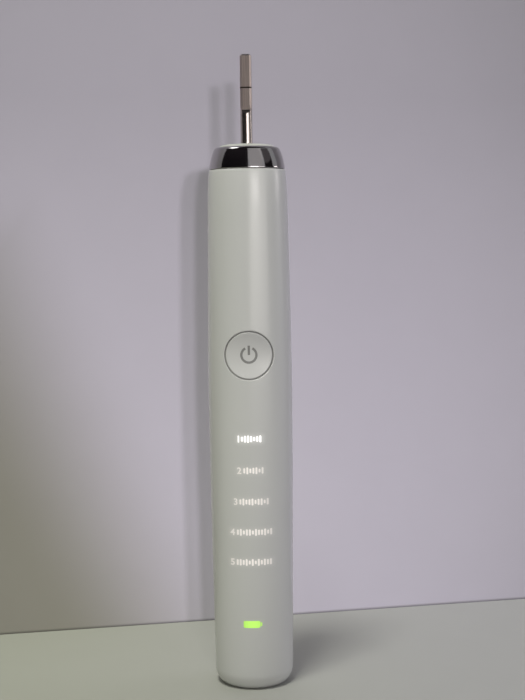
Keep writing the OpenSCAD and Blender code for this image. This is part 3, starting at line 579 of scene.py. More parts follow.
def verts_in(geom):
    """The points among the results of an operator."""
    return [part for part in geom if isinstance(part, bmesh.types.BMVert)]


def slice_across(bm, place, normal):
    """Draws a plane's outline on the whole mesh."""
    bmesh.ops.bisect_plane(bm, geom=bm.verts[:] + bm.edges[:] + bm.faces[:], dist=1e-7, plane_co=place,
                           plane_no=normal)


def lathe(profile, steps=96):
    """Spins a closed profile of (radius, height) points round the Z axis."""
    bm = bmesh.new()
    ring = [bm.verts.new((0, r, z)) for r, z in profile]
    edges = [bm.edges.new(pair) for pair in zip(ring, ring[1:] + ring[:1])]
    bmesh.ops.spin(bm, geom=ring + edges, cent=(0, 0, 0), axis=(0, 0, 1), angle=TAU, steps=steps,
                   use_merge=True)
    clean(bm)
    return bm


def new_piece(name, bm, material, body, replaces=(), sharp=32):
    """An object from a finished bmesh, smooth apart from edges sharper than an angle."""
    for face in bm.faces:
        face.smooth = True
    for edge in bm.edges:
        edge.smooth = not edge.is_manifold or edge.calc_face_angle(0) < math.radians(sharp)
    open_edges = sum(not e.is_manifold for e in bm.edges)
    mesh = bpy.data.meshes.new(name)
    bm.to_mesh(mesh)
    bm.free()
    mesh.materials.append(material)
    piece = bpy.data.objects.new(name, mesh)
    scene.collection.objects.link(piece)
    if body:
        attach(piece, body)
    if replaces:
        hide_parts(*replaces)
    print(f"{name}: {len(mesh.polygons)} faces, {open_edges} open edges")
    return piece


# %% [markdown]
# ## Satin barrel plastic
#
# The barrel is moulded in a white thermoplastic with a satin tool finish: a pale base with
# a hint of green, a roughness that drifts where hands have polished it, and a very fine
# grain in the normal. Where lamps shine through the wall, soft pools of light surround each
# sign.

# %% Barrel material
mode_signs = [(83.3 * MM, 8 * MM), (73 * MM, 8.8 * MM), (62.8 * MM, 11.2 * MM), (52.8 * MM, 13.8 * MM),
              (42.9 * MM, 13.8 * MM)]
sign_h = 2.4 * MM
battery_sign = (22.3 * MM, 6.1 * MM)
sign_glow = [(1.0, 0.98, 0.96), *[(1.0, 0.9, 0.84)] * 4]
battery_glow = (0.45, 0.9, 0.12)
bright_pool, faint_pool = 0.16, 0.07
inset_x, inset_z, pool_reach = 0.5 * MM, 0.7 * MM, 2.2 * MM

barrel_plastic = moulded("barrel_plastic", (0.505, 0.512, 0.495), (0.492, 0.5, 0.481), 0.24, 4200, 0.05,
                         drift=0.06, clouds=55, Specular_IOR_Level=0.95)
tree = barrel_plastic.node_tree
glow = (0, 0, 0)
for (z, width), colour in zip([*mode_signs, battery_sign], [*sign_glow, battery_glow]):
    strength = bright_pool if z == mode_signs[0][0] else faint_pool
    pool = place_effect(tree, light_pool, Height=z, Half_Width=width / 2 - inset_x,
                        Half_Height=sign_h / 2 - inset_z, Reach=pool_reach)
    lit = mix_colour(tree, pool.outputs["Pool"], (0, 0, 0), [c * strength for c in colour])
    glow = mix_colour(tree, 1, glow, lit, "ADD")
feed(tree, tree.nodes["Principled BSDF"], Emission_Color=glow, Emission_Strength=1)
print("barrel plastic with", len(mode_signs) + 1, "pools of light")

# %% [markdown]
# ## Barrel
#
# The barrel is one moulding: a tapered wall with a rounded foot, a deck and a neck at the
# top, and a round pocket for the button. A lathe profile gives all of it but the pocket.
# For the pocket, the faces in front of it are taken out on both sides of the wall. The outer
# edges are pulled in to a circle and back through the wall, and then out to the inner
# edges, so that the mesh flows round the hole without a seam.

# %% Barrel profile
wall, deck_t = 2 * MM, 3 * MM
lip_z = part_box("coil_bobbin")[0].z
cap_bore_r = 9.5 * MM
neck_r, neck_bore_r = 10.33 * MM, 7.83 * MM
deck_z = barrel_h - deck_t
barrel_edge = 0.45 * MM
edge_z = barrel_h - barrel_edge
button_z = (button_low.z + button_high.z) / 2
button_r = (button_high.z - button_low.z) / 2
row_h, window_row_h, deck_clear = 2.4 * MM, 0.7 * MM, 0.2 * MM
window_h = 15 * window_row_h


def rows_between(low, high, step):
    """Heights from low to high in even steps of about the given size."""
    count = max(1, round((high - low) / step))
    return [low + (high - low) * i / count for i in range(count + 1)]


foot_heights = [foot_round_h * (1 - math.cos(math.radians(turn))) for turn in range(0, 90, 9)]
wall_heights = (rows_between(foot_round_h, button_z - window_h, row_h)[:-1]
                + rows_between(button_z - window_h, button_z + window_h, window_row_h)
                + rows_between(button_z + window_h, edge_z, row_h)[1:])
outside = ([(barrel_r(z), z) for z in foot_heights + wall_heights]
           + arc((barrel_r(edge_z) - barrel_edge, edge_z), (barrel_edge, barrel_edge), 0, 90, 6)[1:])
inside = [(barrel_r(z) - wall, z) for z in wall_heights if lip_z + wall < z < deck_z - deck_clear]
profile = ([(cap_bore_r, 0)] + outside + [(neck_r, barrel_h),
           (neck_r, housing_high.z), (neck_bore_r, housing_high.z), (neck_bore_r, deck_z),
           (barrel_r(deck_z) - wall, deck_z)] + inside[::-1]
           + [(barrel_r(lip_z + wall) - wall, lip_z + wall), (cap_bore_r, lip_z)])
print(len(profile), "points in the profile")

# %% Barrel with its pocket
barrel_steps, window_columns = 128, 22
hole_r = button_r + 0.4 * MM
pocket_r = hole_r + 0.8 * MM
boss_r = pocket_r + 1.5 * MM
ledge_y = button_high.y
boss_end_y = ledge_y + 0.85 * MM
hole_edge, hole_margin = 0.28 * MM, 0.15 * MM

bm = lathe(profile, barrel_steps)


def cut_window(inner):
    """Takes out the faces of the wall's inner or outer side in front of the button's pocket."""
    gone = []
    for face in bm.faces:
        centre = face.calc_center_median()
        on_side = (math.hypot(centre.x, centre.y) < barrel_r(centre.z) - wall / 2) == inner
        turn = abs(math.atan2(centre.x, -centre.y))
        if on_side and abs(centre.z - button_z) < window_h and turn < window_columns * TAU / barrel_steps:
            gone.append(face)
    bmesh.ops.delete(bm, geom=gone, context="FACES")


def pull_to_circle(edges, radius, y_of):
    """Extrudes open edges and moves the new ones onto a circle round the button's axis."""
    new = bmesh.ops.extrude_edge_only(bm, edges=edges)["geom"]
    for vert in verts_in(new):
        out = Vector((vert.co.x, 0, vert.co.z - button_z)).normalized()
        vert.co.x, vert.co.z = out.x * radius, button_z + out.z * radius
        vert.co.y = y_of(vert.co.x, vert.co.z)
    return [e for e in new if isinstance(e, bmesh.types.BMEdge)]


def bearing(x, z):
    """The direction from the button's axis to a point, seen from the front."""
    return Vector((x, z - button_z)).normalized()


cut_window(True)
inner_rim = {v for e in bm.edges if e.is_boundary for v in e.verts}
bearings = [(bearing(v.co.x * barrel_r(v.co.z) / (barrel_r(v.co.z) - wall), v.co.z), v.co.copy())
            for v in inner_rim]
inner_edges = {e for v in inner_rim for e in v.link_edges}
cut_window(False)
outer_rim = [e for e in bm.edges if e.is_boundary and e not in inner_edges]
hole = pull_to_circle(outer_rim, hole_r + hole_edge + hole_margin, front_y)
starts = {v for e in outer_rim for v in e.verts}
ends = {v for e in hole for v in e.verts}
spokes = [e for v in starts for e in v.link_edges if e.other_vert(v) in ends]
for vert in verts_in(bmesh.ops.subdivide_edges(bm, edges=spokes, cuts=6)["geom_inner"]):
    vert.co.y = front_y(vert.co.x, vert.co.z)
hole = pull_to_circle(hole, hole_r + hole_edge, front_y)
for turn in (18, 36, 54, 72, 90):
    share = math.radians(turn)
    depth = hole_edge * (1 - math.cos(share))
    hole = pull_to_circle(hole, hole_r + hole_edge * (1 - math.sin(share)),
                          lambda x, z, depth=depth: front_y(x, z) + depth)
for radius, y in ((hole_r, ledge_y), (pocket_r, ledge_y), (pocket_r, boss_end_y), (boss_r, boss_end_y)):
    hole = pull_to_circle(hole, radius, lambda x, z, y=y: y)
hole = pull_to_circle(hole, boss_r, lambda x, z: front_y(x, z, -wall))
for vert in verts_in(bmesh.ops.extrude_edge_only(bm, edges=hole)["geom"]):
    here = bearing(vert.co.x, vert.co.z)
    vert.co = max(bearings, key=lambda pair: pair[0].dot(here))[1]
clean(bm)
new_piece("barrel_skin", bm, barrel_plastic, "handle", ["housing_shell"])

# %% [markdown]
# ## Dished button
#
# The button's face is a shallow dish that swings round with the barrel: hollow from top to
# bottom, and curved like the barrel from side to side. It is turned on the lathe as a flat
# disc with a rounded rim, laid on its side, and then every point of the face is pressed
# into the dish by one formula, the surface of a ring with two radii.

# %% Button
button_y, plunger_r = -10.53 * MM, 2.6 * MM
face_y = 12.43 * MM
face_across_r, face_along_r = 27.85 * MM, 24.04 * MM


def dish_y(x, z):
    """Where the button's face lies at x and z."""
    along = face_across_r + face_along_r - math.sqrt(face_along_r ** 2 - (z - button_z) ** 2)
    return face_across_r - face_y - math.sqrt(along ** 2 - x ** 2)


rim_round = 0.28 * MM
rings = 14
face_points = [((button_r - rim_round) * i / rings, 0) for i in range(rings)]
rim_points = arc((button_r - rim_round, -rim_round), (rim_round, rim_round), 90, 0, 5)
back_points = [(button_r, -button_y), (plunger_r, -button_y), (plunger_r, -ledge_y), (0, -ledge_y)]

bm = lathe(face_points + rim_points + back_points)
for vert in bm.verts:
    depth = -vert.co.z
    vert.co.x, vert.co.y, vert.co.z = vert.co.x, depth, button_z + vert.co.y
    if depth > -rim_round * 2:
        vert.co.y = dish_y(vert.co.x, vert.co.z) + depth
bmesh.ops.recalc_face_normals(bm, faces=bm.faces)
button_plastic = moulded("button_plastic", (0.5, 0.505, 0.492), (0.488, 0.492, 0.478), 0.3, 4200, 0.05,
                         drift=0.08, clouds=90, Specular_IOR_Level=0.45)
new_piece("button_cap", bm, button_plastic, "button", ["power_button"])
print("the dish is", round((dish_y(0, button_z) - dish_y(0, button_high.z)) / MM, 2), "mm deep")

# %% [markdown]
# ## Seal round the button
#
# A soft lip fills the gap between the button and the barrel to just below the surface, so
# that no water stays in it. It lies a little deeper towards the top, and it keeps clear of
# the button, which slides past it.

# %% Gap seal
lip_gap, lip_depth, lip_lean, lip_t = 0.06 * MM, 0.34 * MM, 0.4 * MM, 0.9 * MM
lip_inner_r, lip_outer_r = button_r + lip_gap, hole_r - lip_gap
bm = lathe([(lip_inner_r, lip_t), (lip_inner_r, 0), (lip_outer_r, 0), (lip_outer_r, lip_t)])
for vert in bm.verts:
    depth = vert.co.z
    vert.co.x, vert.co.y, vert.co.z = vert.co.x, 0, button_z + vert.co.y
    upper = max(0, (vert.co.z - button_z) / button_r)
    vert.co.y = front_y(vert.co.x, vert.co.z) + lip_depth + lip_lean * upper + depth
bmesh.ops.recalc_face_normals(bm, faces=bm.faces)
gap_rubber = moulded("gap_rubber", (0.27, 0.27, 0.26), (0.24, 0.24, 0.23), 0.6, 3000, clouds=300,
                     Specular_IOR_Level=0.3)
new_piece("button_gap_seal", bm, gap_rubber, "handle")

# %% [markdown]
# ## Power sign
#
# The sign for power is an open ring with a bar at its top, a public standard. It is printed
# on the button in soft grey ink. A two-point line is spun most of the way round for the
# ring, a small grid makes the bar, and both are laid on the dish and given the thickness of
# a coat of ink. A printed shape has a front and a rim; its back, which lies inside the
# surface, stays open.

# %% Printed sign
strip_w = 0.35 * MM


def printed(bm, surface_y, ink):
    """Lays flat faces of the x-z plane on a surface in front and gives them a thickness."""
    strips = int(max(abs(vert.co.x) for vert in bm.verts) / strip_w)
    for i in range(-strips, strips + 1):
        slice_across(bm, (i * strip_w, 0, 0), (1, 0, 0))
    for vert in bm.verts:
        vert.co.y = surface_y(vert.co.x, vert.co.z) - ink
    bmesh.ops.recalc_face_normals(bm, faces=bm.faces)
    bmesh.ops.reverse_faces(bm, faces=[f for f in bm.faces if f.normal.y > 0])
    fronts = list(bm.faces)
    grown = bmesh.ops.extrude_face_region(bm, geom=fronts)["geom"]
    bmesh.ops.delete(bm, geom=fronts, context="FACES_ONLY")
    risen = set(verts_in(grown))
    for vert in bm.verts:
        if vert not in risen:
            vert.co.y = surface_y(vert.co.x, vert.co.z) + ink
    bmesh.ops.recalc_face_normals(bm, faces=bm.faces)


sign_outer_r, stroke, opening = 2.8 * MM, 0.76 * MM, 28
bar_h, sign_lift = 3.05 * MM, 0.1 * MM
ink_t = 0.012 * MM
bm = bmesh.new()
start = Matrix.Rotation(math.radians(opening), 3, "Y")
pair = [bm.verts.new(start @ Vector((0, 0, r))) for r in (sign_outer_r - stroke, sign_outer_r)]
bmesh.ops.spin(bm, geom=[*pair, bm.edges.new(pair)], cent=(0, 0, 0), axis=(0, 1, 0),
               angle=math.radians(360 - 2 * opening), steps=60)
bar = bmesh.ops.create_grid(bm, x_segments=2, y_segments=8, size=0.5)["verts"]
bmesh.ops.scale(bm, vec=(stroke, bar_h, 1), verts=bar)
bmesh.ops.rotate(bm, cent=(0, 0, 0), matrix=Matrix.Rotation(math.pi / 2, 3, "X"), verts=bar)
bmesh.ops.translate(bm, vec=(0, 0, bar_h / 2), verts=bar)
bmesh.ops.translate(bm, vec=(0, 0, button_z + sign_lift), verts=bm.verts)
printed(bm, dish_y, ink_t)
grey_ink = moulded("grey_ink", (0.21, 0.21, 0.2), (0.18, 0.18, 0.175), 0.45, 6000, 0.1, clouds=900,
                   Specular_IOR_Level=0.4)
new_piece("power_sign", bm, grey_ink, "button")

# %% [markdown]
# ## Lit signs
#
# Under the thin wall, lamps shine through openings in a dark film, and each opening is a
# sign: one for each of five modes, and a cell for the charge. A mode sign is its number and
# a row of pulses, whose heights follow a wave that is different for each mode. They are flat
# shapes laid on the barrel. The uppermost is on, the others glow faintly and fade
# towards their ends, because each lamp stands behind the middle.

# %% Sign shapes
def rounded_patch(bm, width, height, corner, x, z):
    """A flat rectangle with round corners in the x-z plane."""
    turned = Matrix.Rotation(math.pi / 2, 4, "X") @ Matrix.Rotation(math.pi / 16, 4, "Z")
    made = bmesh.ops.create_circle(bm, cap_ends=True, segments=16, radius=corner, matrix=turned)["verts"]
    for vert in made:
        vert.co.x += x + math.copysign(width / 2 - corner, vert.co.x)
        vert.co.z += z + math.copysign(height / 2 - corner, vert.co.z)


def numeral(bm, figure, height, left, z):
    """A figure as flat faces in the x-z plane, its left edge at left and centred on z."""
    text = bpy.data.curves.new("figure", "FONT")
    text.body, text.resolution_u, text.offset = figure, 4, 0.025
    holder = bpy.data.objects.new("figure", text)
    scene.collection.objects.link(holder)
    shape = bpy.data.meshes.new_from_object(holder.evaluated_get(bpy.context.evaluated_depsgraph_get()))
    bpy.data.objects.remove(holder)
    bpy.data.curves.remove(text)
    before = set(bm.verts)
    bm.from_mesh(shape)
    bpy.data.meshes.remove(shape)
    new = [v for v in bm.verts if v not in before]
    low = Vector((min(v.co.x for v in new), min(v.co.y for v in new), 0))
    size = height / (max(v.co.y for v in new) - low.y)
    for vert in new:
        place = (vert.co - low) * size
        vert.co = (left + place.x, 0, z - height / 2 + place.y)
    return max(v.co.x for v in new)


def lit_material(name, colour, strength, half_width, fade, base=(0.5, 0.5, 0.48)):
    """Light that leaves a sign, weaker towards the sign's ends."""
    material, tree, shader = new_material(name, Roughness=0.35, Base_Color=base, Emission_Strength=strength)
    apart = add(tree, "SeparateXYZ", Vector=object_place(tree)).outputs
    out = maths(tree, "DIVIDE", maths(tree, "ABSOLUTE", apart["X"]), half_width, clamp=True)
    left = maths(tree, "SUBTRACT", 1, maths(tree, "MULTIPLY", maths(tree, "MULTIPLY", out, out), fade))
    grain = place_effect(tree, moulded_grain, Grain_Scale=4200, Depth=0.06)
    feed(tree, shader, Emission_Color=mix_colour(tree, left, (0, 0, 0), colour),
         Normal=grain.outputs["Normal"])
    return material


# %% Mode signs
proud = 0.015 * MM
figure_h, figure_gap = 2.2 * MM, 0.95 * MM
pulse_w, pulse_pitch = 0.66 * MM, 0.98 * MM
pulse_corner = pulse_w * 0.45
low_pulse, high_pulse = 1.1 * MM, 2.3 * MM
for place, (z, width) in enumerate(mode_signs):
    bm = bmesh.new()
    first = numeral(bm, str(place + 1), figure_h, -width / 2, z) + figure_gap
    count = int((width / 2 - first) / pulse_pitch) + 1
    for i in range(count):
        wave = abs(math.sin(math.pi * (i + 0.5) * (place + 1.5) / count))
        height = low_pulse + (high_pulse - low_pulse) * wave
        rounded_patch(bm, pulse_w, height, pulse_corner, first + i * pulse_pitch, z)
    printed(bm, front_y, proud)
    strength, fade = (1.0, 0.1) if place == 0 else (0.42, 0.45)
    light = lit_material(f"sign_light_{place + 1}", sign_glow[place], strength, width / 2, fade)
    new_piece(f"mode_sign_{place + 1}", bm, light, "handle")

# %% Battery sign
z, width = battery_sign
cell_w, cell_h, cell_corner = width - 0.6 * MM, 2.3 * MM, 0.5 * MM
nub_w, nub_h, nub_corner = 0.5 * MM, 1.3 * MM, 0.2 * MM
bm = bmesh.new()
rounded_patch(bm, cell_w, cell_h, cell_corner, -(width - cell_w) / 2, z)
rounded_patch(bm, nub_w, nub_h, nub_corner, (width - nub_w) / 2, z)
printed(bm, front_y, proud)
green_light = lit_material("battery_light", battery_glow, 0.9, width / 2, 0.3, (0.22, 0.3, 0.08))
new_piece("battery_sign", bm, green_light, "handle")

# %% [markdown]
# ## Dark metal collar
#
# A ring of polished metal with a dark coating finishes the barrel. Its side swells very
# slightly between a sharp lower edge and a rounded upper one, which makes each reflection
# a clean vertical band. The material is a full metal with low roughness. Handling leaves
# faint smudges, so its gloss drifts a little.

# %% Collar
collar_z, collar_top_z = collar_low.z, collar_high.z
collar_foot_r = collar_high.x
collar_taper, collar_swell = 1.42 * MM, 0.2 * MM
collar_top_r = collar_foot_r - collar_taper
collar_bore_r = collar_top_r - 1.75 * MM
collar_edge, collar_round, inner_round = 0.25 * MM, 1.4 * MM, 0.15 * MM
upper_turn = 15
foot_z = collar_z + collar_edge
side_h = collar_top_z - collar_round * (1 - math.sin(math.radians(upper_turn))) - foot_z
side_steps = 14
side = [(collar_foot_r - collar_taper * i / side_steps + collar_swell * math.sin(math.pi * i / side_steps),
         foot_z + side_h * i / side_steps) for i in range(1, side_steps)]
seat_play = 0.05 * MM
seat_r, seat_z = neck_r + seat_play, housing_high.z + seat_play
profile = ([(collar_bore_r, seat_z), (seat_r, seat_z), (seat_r, collar_z)]
           + arc((collar_foot_r - collar_edge, foot_z), (collar_edge, collar_edge), -90, 0, 6) + side
           + arc((collar_top_r - collar_round, collar_top_z - collar_round), (collar_round, collar_round),
                 upper_turn, 90, 12)
           + arc((collar_bore_r + inner_round, collar_top_z - inner_round), (inner_round, inner_round),
                 90, 180, 4))
bm = lathe(profile, 160)
dark_chrome = moulded("dark_chrome", (0.5, 0.485, 0.49), (0.47, 0.455, 0.46), 0.09, 900, 0.012,
                      drift=0.08, clouds=120, Metallic=1.0)
new_piece("collar_band", bm, dark_chrome, "handle", ["collar_ring"])

# %% [markdown]
# ## Seal dome
#
# A soft white seal closes the top and lets the shaft tremble in its middle. Its dome is a
# flat ellipse, and its lip is a thin edge round the shaft.

# %% Seal
dome_z, dome_top_z = collar_top_z + 0.1 * MM, seal_high.z
flange_r = collar_bore_r - 0.15 * MM
plug_r = neck_bore_r - 0.05 * MM
lip_r, seal_bore_r, seal_foot_r, lip_edge = 2.9 * MM, 2.19 * MM, 4.6 * MM, 0.2 * MM
bore_h, hollow_h = 1.3 * MM, 2.6 * MM
profile = ([(seal_foot_r, seal_low.z), (plug_r, seal_low.z), (plug_r, housing_high.z),
            (flange_r, housing_high.z)]
           + arc((lip_r, dome_z), (flange_r - lip_r, dome_top_z - dome_z), 0, 90, 14)
           + [(seal_bore_r + lip_edge, dome_top_z), (seal_bore_r, dome_top_z - lip_edge),
              (seal_bore_r, dome_top_z - bore_h), (seal_foot_r, dome_top_z - hollow_h)])
bm = lathe(profile, 128)
seal_rubber = moulded("seal_rubber", (0.42, 0.43, 0.4), (0.4, 0.41, 0.38), 0.5, 3000, clouds=200,
                      Specular_IOR_Level=0.4)
new_piece("seal_dome", bm, seal_rubber, "handle", ["shaft_seal"])

# %% [markdown]
# ## Drive shaft
#
# The shaft is ground round, then a flat is milled down its front and one on each side, with
# a ramp at the foot of each flat, a bevel at its top, and a groove across the front one that
# locks the brush head. On the mesh, a flat is cut in two steps: bisect_plane draws the
# cutter's outline on the round bar, and the points beyond the plane are then moved onto it.
# The faces of the flats get a steel of their own, and the groove's faces a near-black steel that is painted
# shade in the groove.

# %% Shaft
journal_r, stem_r, tip_r = 2.15 * MM, 1.95 * MM, 1.88 * MM
shaft_foot_z, shaft_tip_z = shaft_low.z, shaft_high.z
foot_edge, tip_edge = 0.3 * MM, 0.5 * MM
journal_top_z = dome_top_z + 0.1 * MM
chamfer_z = shaft_tip_z - tip_edge
ramp_h = 1.3 * MM
front_flat, side_flat = (1.3 * MM, shaft_tip_z - 19.1 * MM), (1.79 * MM, shaft_tip_z - 18.1 * MM)
flats = [(0, *front_flat), (50, *side_flat), (-50, *side_flat)]
front_depth, flat_z = front_flat
groove_z, groove_w, groove_y = shaft_tip_z - 10.7 * MM, 0.45 * MM, 0.95 * MM
groove_slope = 0.02 * MM
cuts = sorted({z for _, _, foot in flats for z in (foot, foot + ramp_h)}
              | {groove_z + s * (groove_w / 2 + d) for s in (-1, 1) for d in (0, groove_slope)})


def stem_at(z):
    """The shaft's radius above its journal, which tapers a little to the tip."""
    return stem_r - (stem_r - tip_r) * max(0, z - flat_z) / (chamfer_z - flat_z)


profile = [(0, shaft_foot_z), (journal_r - foot_edge, shaft_foot_z), (journal_r, shaft_foot_z + foot_edge),
           (journal_r, journal_top_z), (stem_r, journal_top_z), *[(stem_at(z), z) for z in cuts],
           (tip_r, chamfer_z), (tip_r - tip_edge, shaft_tip_z), (0, shaft_tip_z)]
bm = lathe(profile)


def mill(turn, depth_at, low, high, slope=0.0):
    """Cuts away what lies beyond a plane, between two heights."""
    out = Vector((math.sin(math.radians(turn)), -math.cos(math.radians(turn)), 0))
    band = [f for f in bm.faces if all(low - 1e-7 < v.co.z < high + 1e-7 for v in f.verts)]
    geom = band + list({e for f in band for e in f.edges}) + list({v for f in band for v in f.verts})
    normal = (out + Vector((0, 0, slope))).normalized()
    bmesh.ops.bisect_plane(bm, geom=geom, dist=1e-8, plane_no=normal,
                           plane_co=out * depth_at(low) + Vector((0, 0, low)))
    for vert in bm.verts:
        if low - 1e-7 < vert.co.z < high + 1e-7:
            beyond = vert.co.dot(out) - depth_at(vert.co.z)
            if beyond > 0:
                vert.co -= out * beyond


for turn, depth, foot in flats:
    slope = (stem_r - depth) / ramp_h
    mill(turn, lambda z, d=depth, f=foot, s=slope: d + s * (f + ramp_h - z), foot, foot + ramp_h, slope)
    mill(turn, lambda z, d=depth: d, foot + ramp_h, shaft_tip_z)
    if turn == 0:
        mill(turn, lambda z: groove_y, groove_z - groove_w / 2, groove_z + groove_w / 2)
    mill(turn, lambda z, d=depth: d + chamfer_z - z, chamfer_z, shaft_tip_z, 1.0)
clean(bm, 2e-7)
steepest, same_turn, below_flat = 0.3, 0.02, 0.01 * MM
for face in bm.faces:
    centre, normal = face.calc_center_median(), face.normal
    if centre.z > flat_z and centre.y < 0:
        in_groove = (abs(centre.z - groove_z) < groove_w / 2 + groove_slope
                     and -centre.y < front_depth - below_flat)
        on_flat = normal.z < steepest and any(
            abs(normal.x - math.sin(math.radians(turn))) < same_turn for turn, _, _ in flats)
        face.material_index = 2 if in_groove else 1 if on_flat else 0

ground_steel = machined("ground_steel", (0.66, 0.61, 0.58), (0.5, 0.45, 0.42), (1, 1, 0.015), 0.24,
                        depth=0.12, spread=0.16)
bar = new_piece("shaft_bar", bm, ground_steel, "shaft", ["drive_shaft"], sharp=20)
# milled steel for the flats; the groove's near-black steel is painted shade in the narrow groove
for name, light, dark, rough in (("milled_steel", (0.95, 0.82, 0.76), (0.12, 0.09, 0.08), 0.32),
                                 ("groove_shade_steel", (0.1, 0.08, 0.07), (0.05, 0.04, 0.035), 0.5)):
    bar.data.materials.append(machined(name, light, dark, (1, 1, 0.01), rough, 3000, 0.2, 0.2))

# %% [markdown]
# ## Finishes for the pieces inside
#
# The working pieces keep their exact shapes from the frame and only need a finish. The
# printed board has one of its own: a green mask over a brick pattern of copper tracks. The
# table below it names each piece that keeps its own shape, and what it is made of. Only the
# material slot of these meshes changes.

# %% Board finish
track_w, track_pitch, track_l = 0.16 * MM, 1.3 * MM, 6.1 * MM
solder_mask, tree, shader = new_material("solder_mask", Roughness=0.3, Coat_Weight=0.3)
upright = add(tree, "Mapping", Vector=object_place(tree), Rotation=(math.pi / 2, 0, 0))
tracks = add(tree, "TexBrick", offset=0.37, Vector=upright.outputs["Vector"], Scale=1.0,
             Mortar_Size=track_w, Mortar_Smooth=0.3, Brick_Width=track_l, Row_Height=track_pitch,
             Color1=(0.035, 0.2, 0.095), Color2=(0.03, 0.175, 0.085), Mortar=(0.07, 0.32, 0.16)).outputs
feed(tree, shader, Base_Color=tracks["Color"], Normal=relief(tree, tracks["Fac"], 0.3, 0.00005))
print("board finish with tracks", round(track_w / MM, 2), "mm wide")

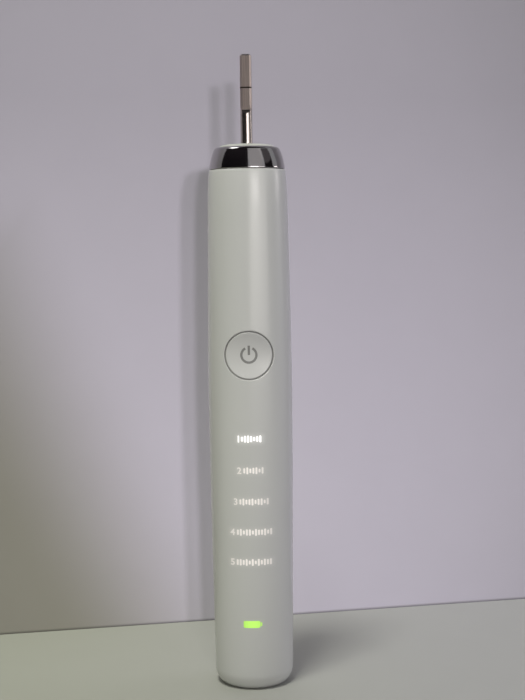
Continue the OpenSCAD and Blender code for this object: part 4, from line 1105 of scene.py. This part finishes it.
# %% Finishes on the frame's own pieces
black = [(0.035, 0.035, 0.038), (0.022, 0.022, 0.025)]
even = (1, 1, 1)
red_insulation = moulded("red_insulation", (0.5, 0.06, 0.045), (0.4, 0.045, 0.035), 0.38)
blue_insulation = moulded("blue_insulation", (0.07, 0.13, 0.45), (0.055, 0.1, 0.36), 0.38)
sintered_bronze = machined("sintered_bronze", (0.66, 0.5, 0.25), (0.46, 0.34, 0.16), even, 0.42, 5000, 0.3)
finishes = {
    "end_cap": moulded("end_cap_plastic", (0.5, 0.507, 0.49), (0.487, 0.495, 0.476), 0.45, 3200),
    "end_cap_ring": moulded("ring_rubber", *black, 0.55),
    "button_diaphragm": moulded("diaphragm_rubber", (0.42, 0.42, 0.41), (0.38, 0.38, 0.37), 0.6),
    "tact_switch": moulded("switch_body_plastic", *black, 0.4),
    "switch_stem": moulded("switch_stem_plastic", (0.6, 0.22, 0.07), (0.5, 0.18, 0.06), 0.4),
    "mask_film": moulded("black_film", *black, 0.5, 6000, 0.04),
    "light_box": moulded("light_box_plastic", (0.85, 0.85, 0.83), (0.8, 0.8, 0.78), 0.5),
    "mode_lamps": lamp_lens("warm_lamps", (0.85, 0.75, 0.55), (1.0, 0.9, 0.78), 1.5),
    "battery_lamp": lamp_lens("green_lamp", (0.5, 0.8, 0.3), (0.45, 0.95, 0.12), 1.5),
    "main_board": solder_mask,
    "control_chip": moulded("chip_epoxy", (0.045, 0.045, 0.047), (0.03, 0.03, 0.032), 0.45, 5200, 0.12),
    "board_parts": moulded("part_ceramic", (0.56, 0.48, 0.33), (0.42, 0.35, 0.22), 0.35, 4000),
    "chassis": moulded("chassis_plastic", (0.56, 0.57, 0.58), (0.52, 0.53, 0.54), 0.5, 2200, 0.12),
    "battery_cell": moulded("cell_sleeve", (0.07, 0.21, 0.14), (0.055, 0.17, 0.115), 0.22, 1500, 0.03,
                            Coat_Weight=0.4),
    "cell_washer": moulded("fibre_board", (0.78, 0.76, 0.66), (0.68, 0.66, 0.56), 0.75, 1800, 0.3),
    "cell_cushion": moulded("black_foam", (0.07, 0.07, 0.075), (0.03, 0.03, 0.033), 0.9, 1100, 0.9),
    "cell_tabs": machined("nickel_strip", (0.72, 0.7, 0.66), (0.55, 0.53, 0.5), (1, 0.05, 1), 0.28),
    "coil_bobbin": moulded("bobbin_plastic", *black, 0.42),
    "charging_coil": banded("copper_wire", (0.74, 0.36, 0.15), (0.2, 0.08, 0.03), (0, 0, 1), 0.28 * MM, 0.28),
    "ferrite_core": moulded("ferrite", (0.09, 0.09, 0.095), (0.055, 0.055, 0.06), 0.5, 1900, 0.35),
    "coil_leads": red_insulation,
    "motor_frame": moulded("filled_nylon", (0.105, 0.11, 0.12), (0.075, 0.08, 0.09), 0.55, 1700, 0.2),
    "stator_core": banded("steel_sheets", (0.4, 0.4, 0.42), (0.12, 0.12, 0.13), (0, 1, 0), 0.5 * MM, 0.35),
    "coil_former": moulded("former_plastic", (0.72, 0.67, 0.53), (0.65, 0.6, 0.47), 0.42),
    "motor_coil": banded("enamelled_wire", (0.7, 0.3, 0.11), (0.18, 0.06, 0.02), (0, 0, 1), 0.25 * MM, 0.25),
    "motor_leads": blue_insulation,
    "frame_screws": machined("zinc_plate", (0.6, 0.6, 0.61), (0.42, 0.42, 0.43), even, 0.3, 3500),
    "armature_yoke": machined("turned_steel", (0.46, 0.46, 0.47), (0.3, 0.3, 0.31), (0.02, 0.02, 1)),
    "rotor_magnets": machined("nickel_plate", (0.7, 0.69, 0.66), (0.6, 0.59, 0.57), even, 0.16, 2500, 0.04),
    "spring_hub": moulded("sintered_steel", (0.4, 0.41, 0.43), (0.32, 0.33, 0.35), 0.45, 2600, 0.3,
                          Metallic=1.0),
    "torsion_bars": machined("spring_steel", (0.64, 0.66, 0.7), (0.5, 0.52, 0.56), (1, 1, 0.015), 0.24),
    "spring_clamp": moulded("die_cast_alloy", (0.5, 0.5, 0.52), (0.43, 0.43, 0.45), 0.5, 1500, 0.4,
                            Metallic=1.0),
    "front_bush": sintered_bronze,
    "rear_bush": sintered_bronze,
    "damper_ring": moulded("damper_rubber", *black, 0.65),
}
for name, finish in finishes.items():
    nodes[name].data.materials.clear()
    nodes[name].data.materials.append(finish)
replaced = {"housing_shell", "power_button", "collar_ring", "shaft_seal", "drive_shaft"}
print(len(finishes), "pieces dressed; without a finish:", sorted(set(nodes) - set(finishes) - replaced))

# %% [markdown]
# ## Sliced torsion bars
#
# Two flat bars of spring steel hold the shaft's hub to a clamp that is fixed in the handle,
# and their twist is what makes the shaft swing back. A stiff piece would cut through the hub
# as it turns, so the bars are made of thin slices along their length; this script cuts the
# slices and turns none of them.

# %% Torsion bars
bars_low, bars_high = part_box("torsion_bars")
hub_top_z, clamp_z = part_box("spring_hub")[1].z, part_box("spring_clamp")[0].z
bar_t, bar_edge, bar_slices = 0.8 * MM, 0.1 * MM, 24
bar_centre_x = bars_high.x - bar_t / 2
bm = bmesh.new()
for side in (-1, 1):
    new = bmesh.ops.create_cube(bm, size=1)["verts"]
    bmesh.ops.scale(bm, vec=(bar_t, bars_high.y - bars_low.y, bars_high.z - bars_low.z), verts=new)
    bmesh.ops.translate(bm, vec=(side * bar_centre_x, 0, (bars_low.z + bars_high.z) / 2), verts=new)
bmesh.ops.bevel(bm, geom=bm.edges[:], offset=bar_edge, offset_type="OFFSET", segments=2, profile=0.5,
                affect="EDGES", material=-1)
for i in range(1, bar_slices):
    slice_z = hub_top_z + (clamp_z - hub_top_z) * (i - 0.5) / (bar_slices - 1)
    slice_across(bm, (0, 0, slice_z), (0, 0, 1))
bmesh.ops.recalc_face_normals(bm, faces=bm.faces)
bars = new_piece("twist_bars", bm, finishes["torsion_bars"], None, ["torsion_bars"])
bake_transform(bars)
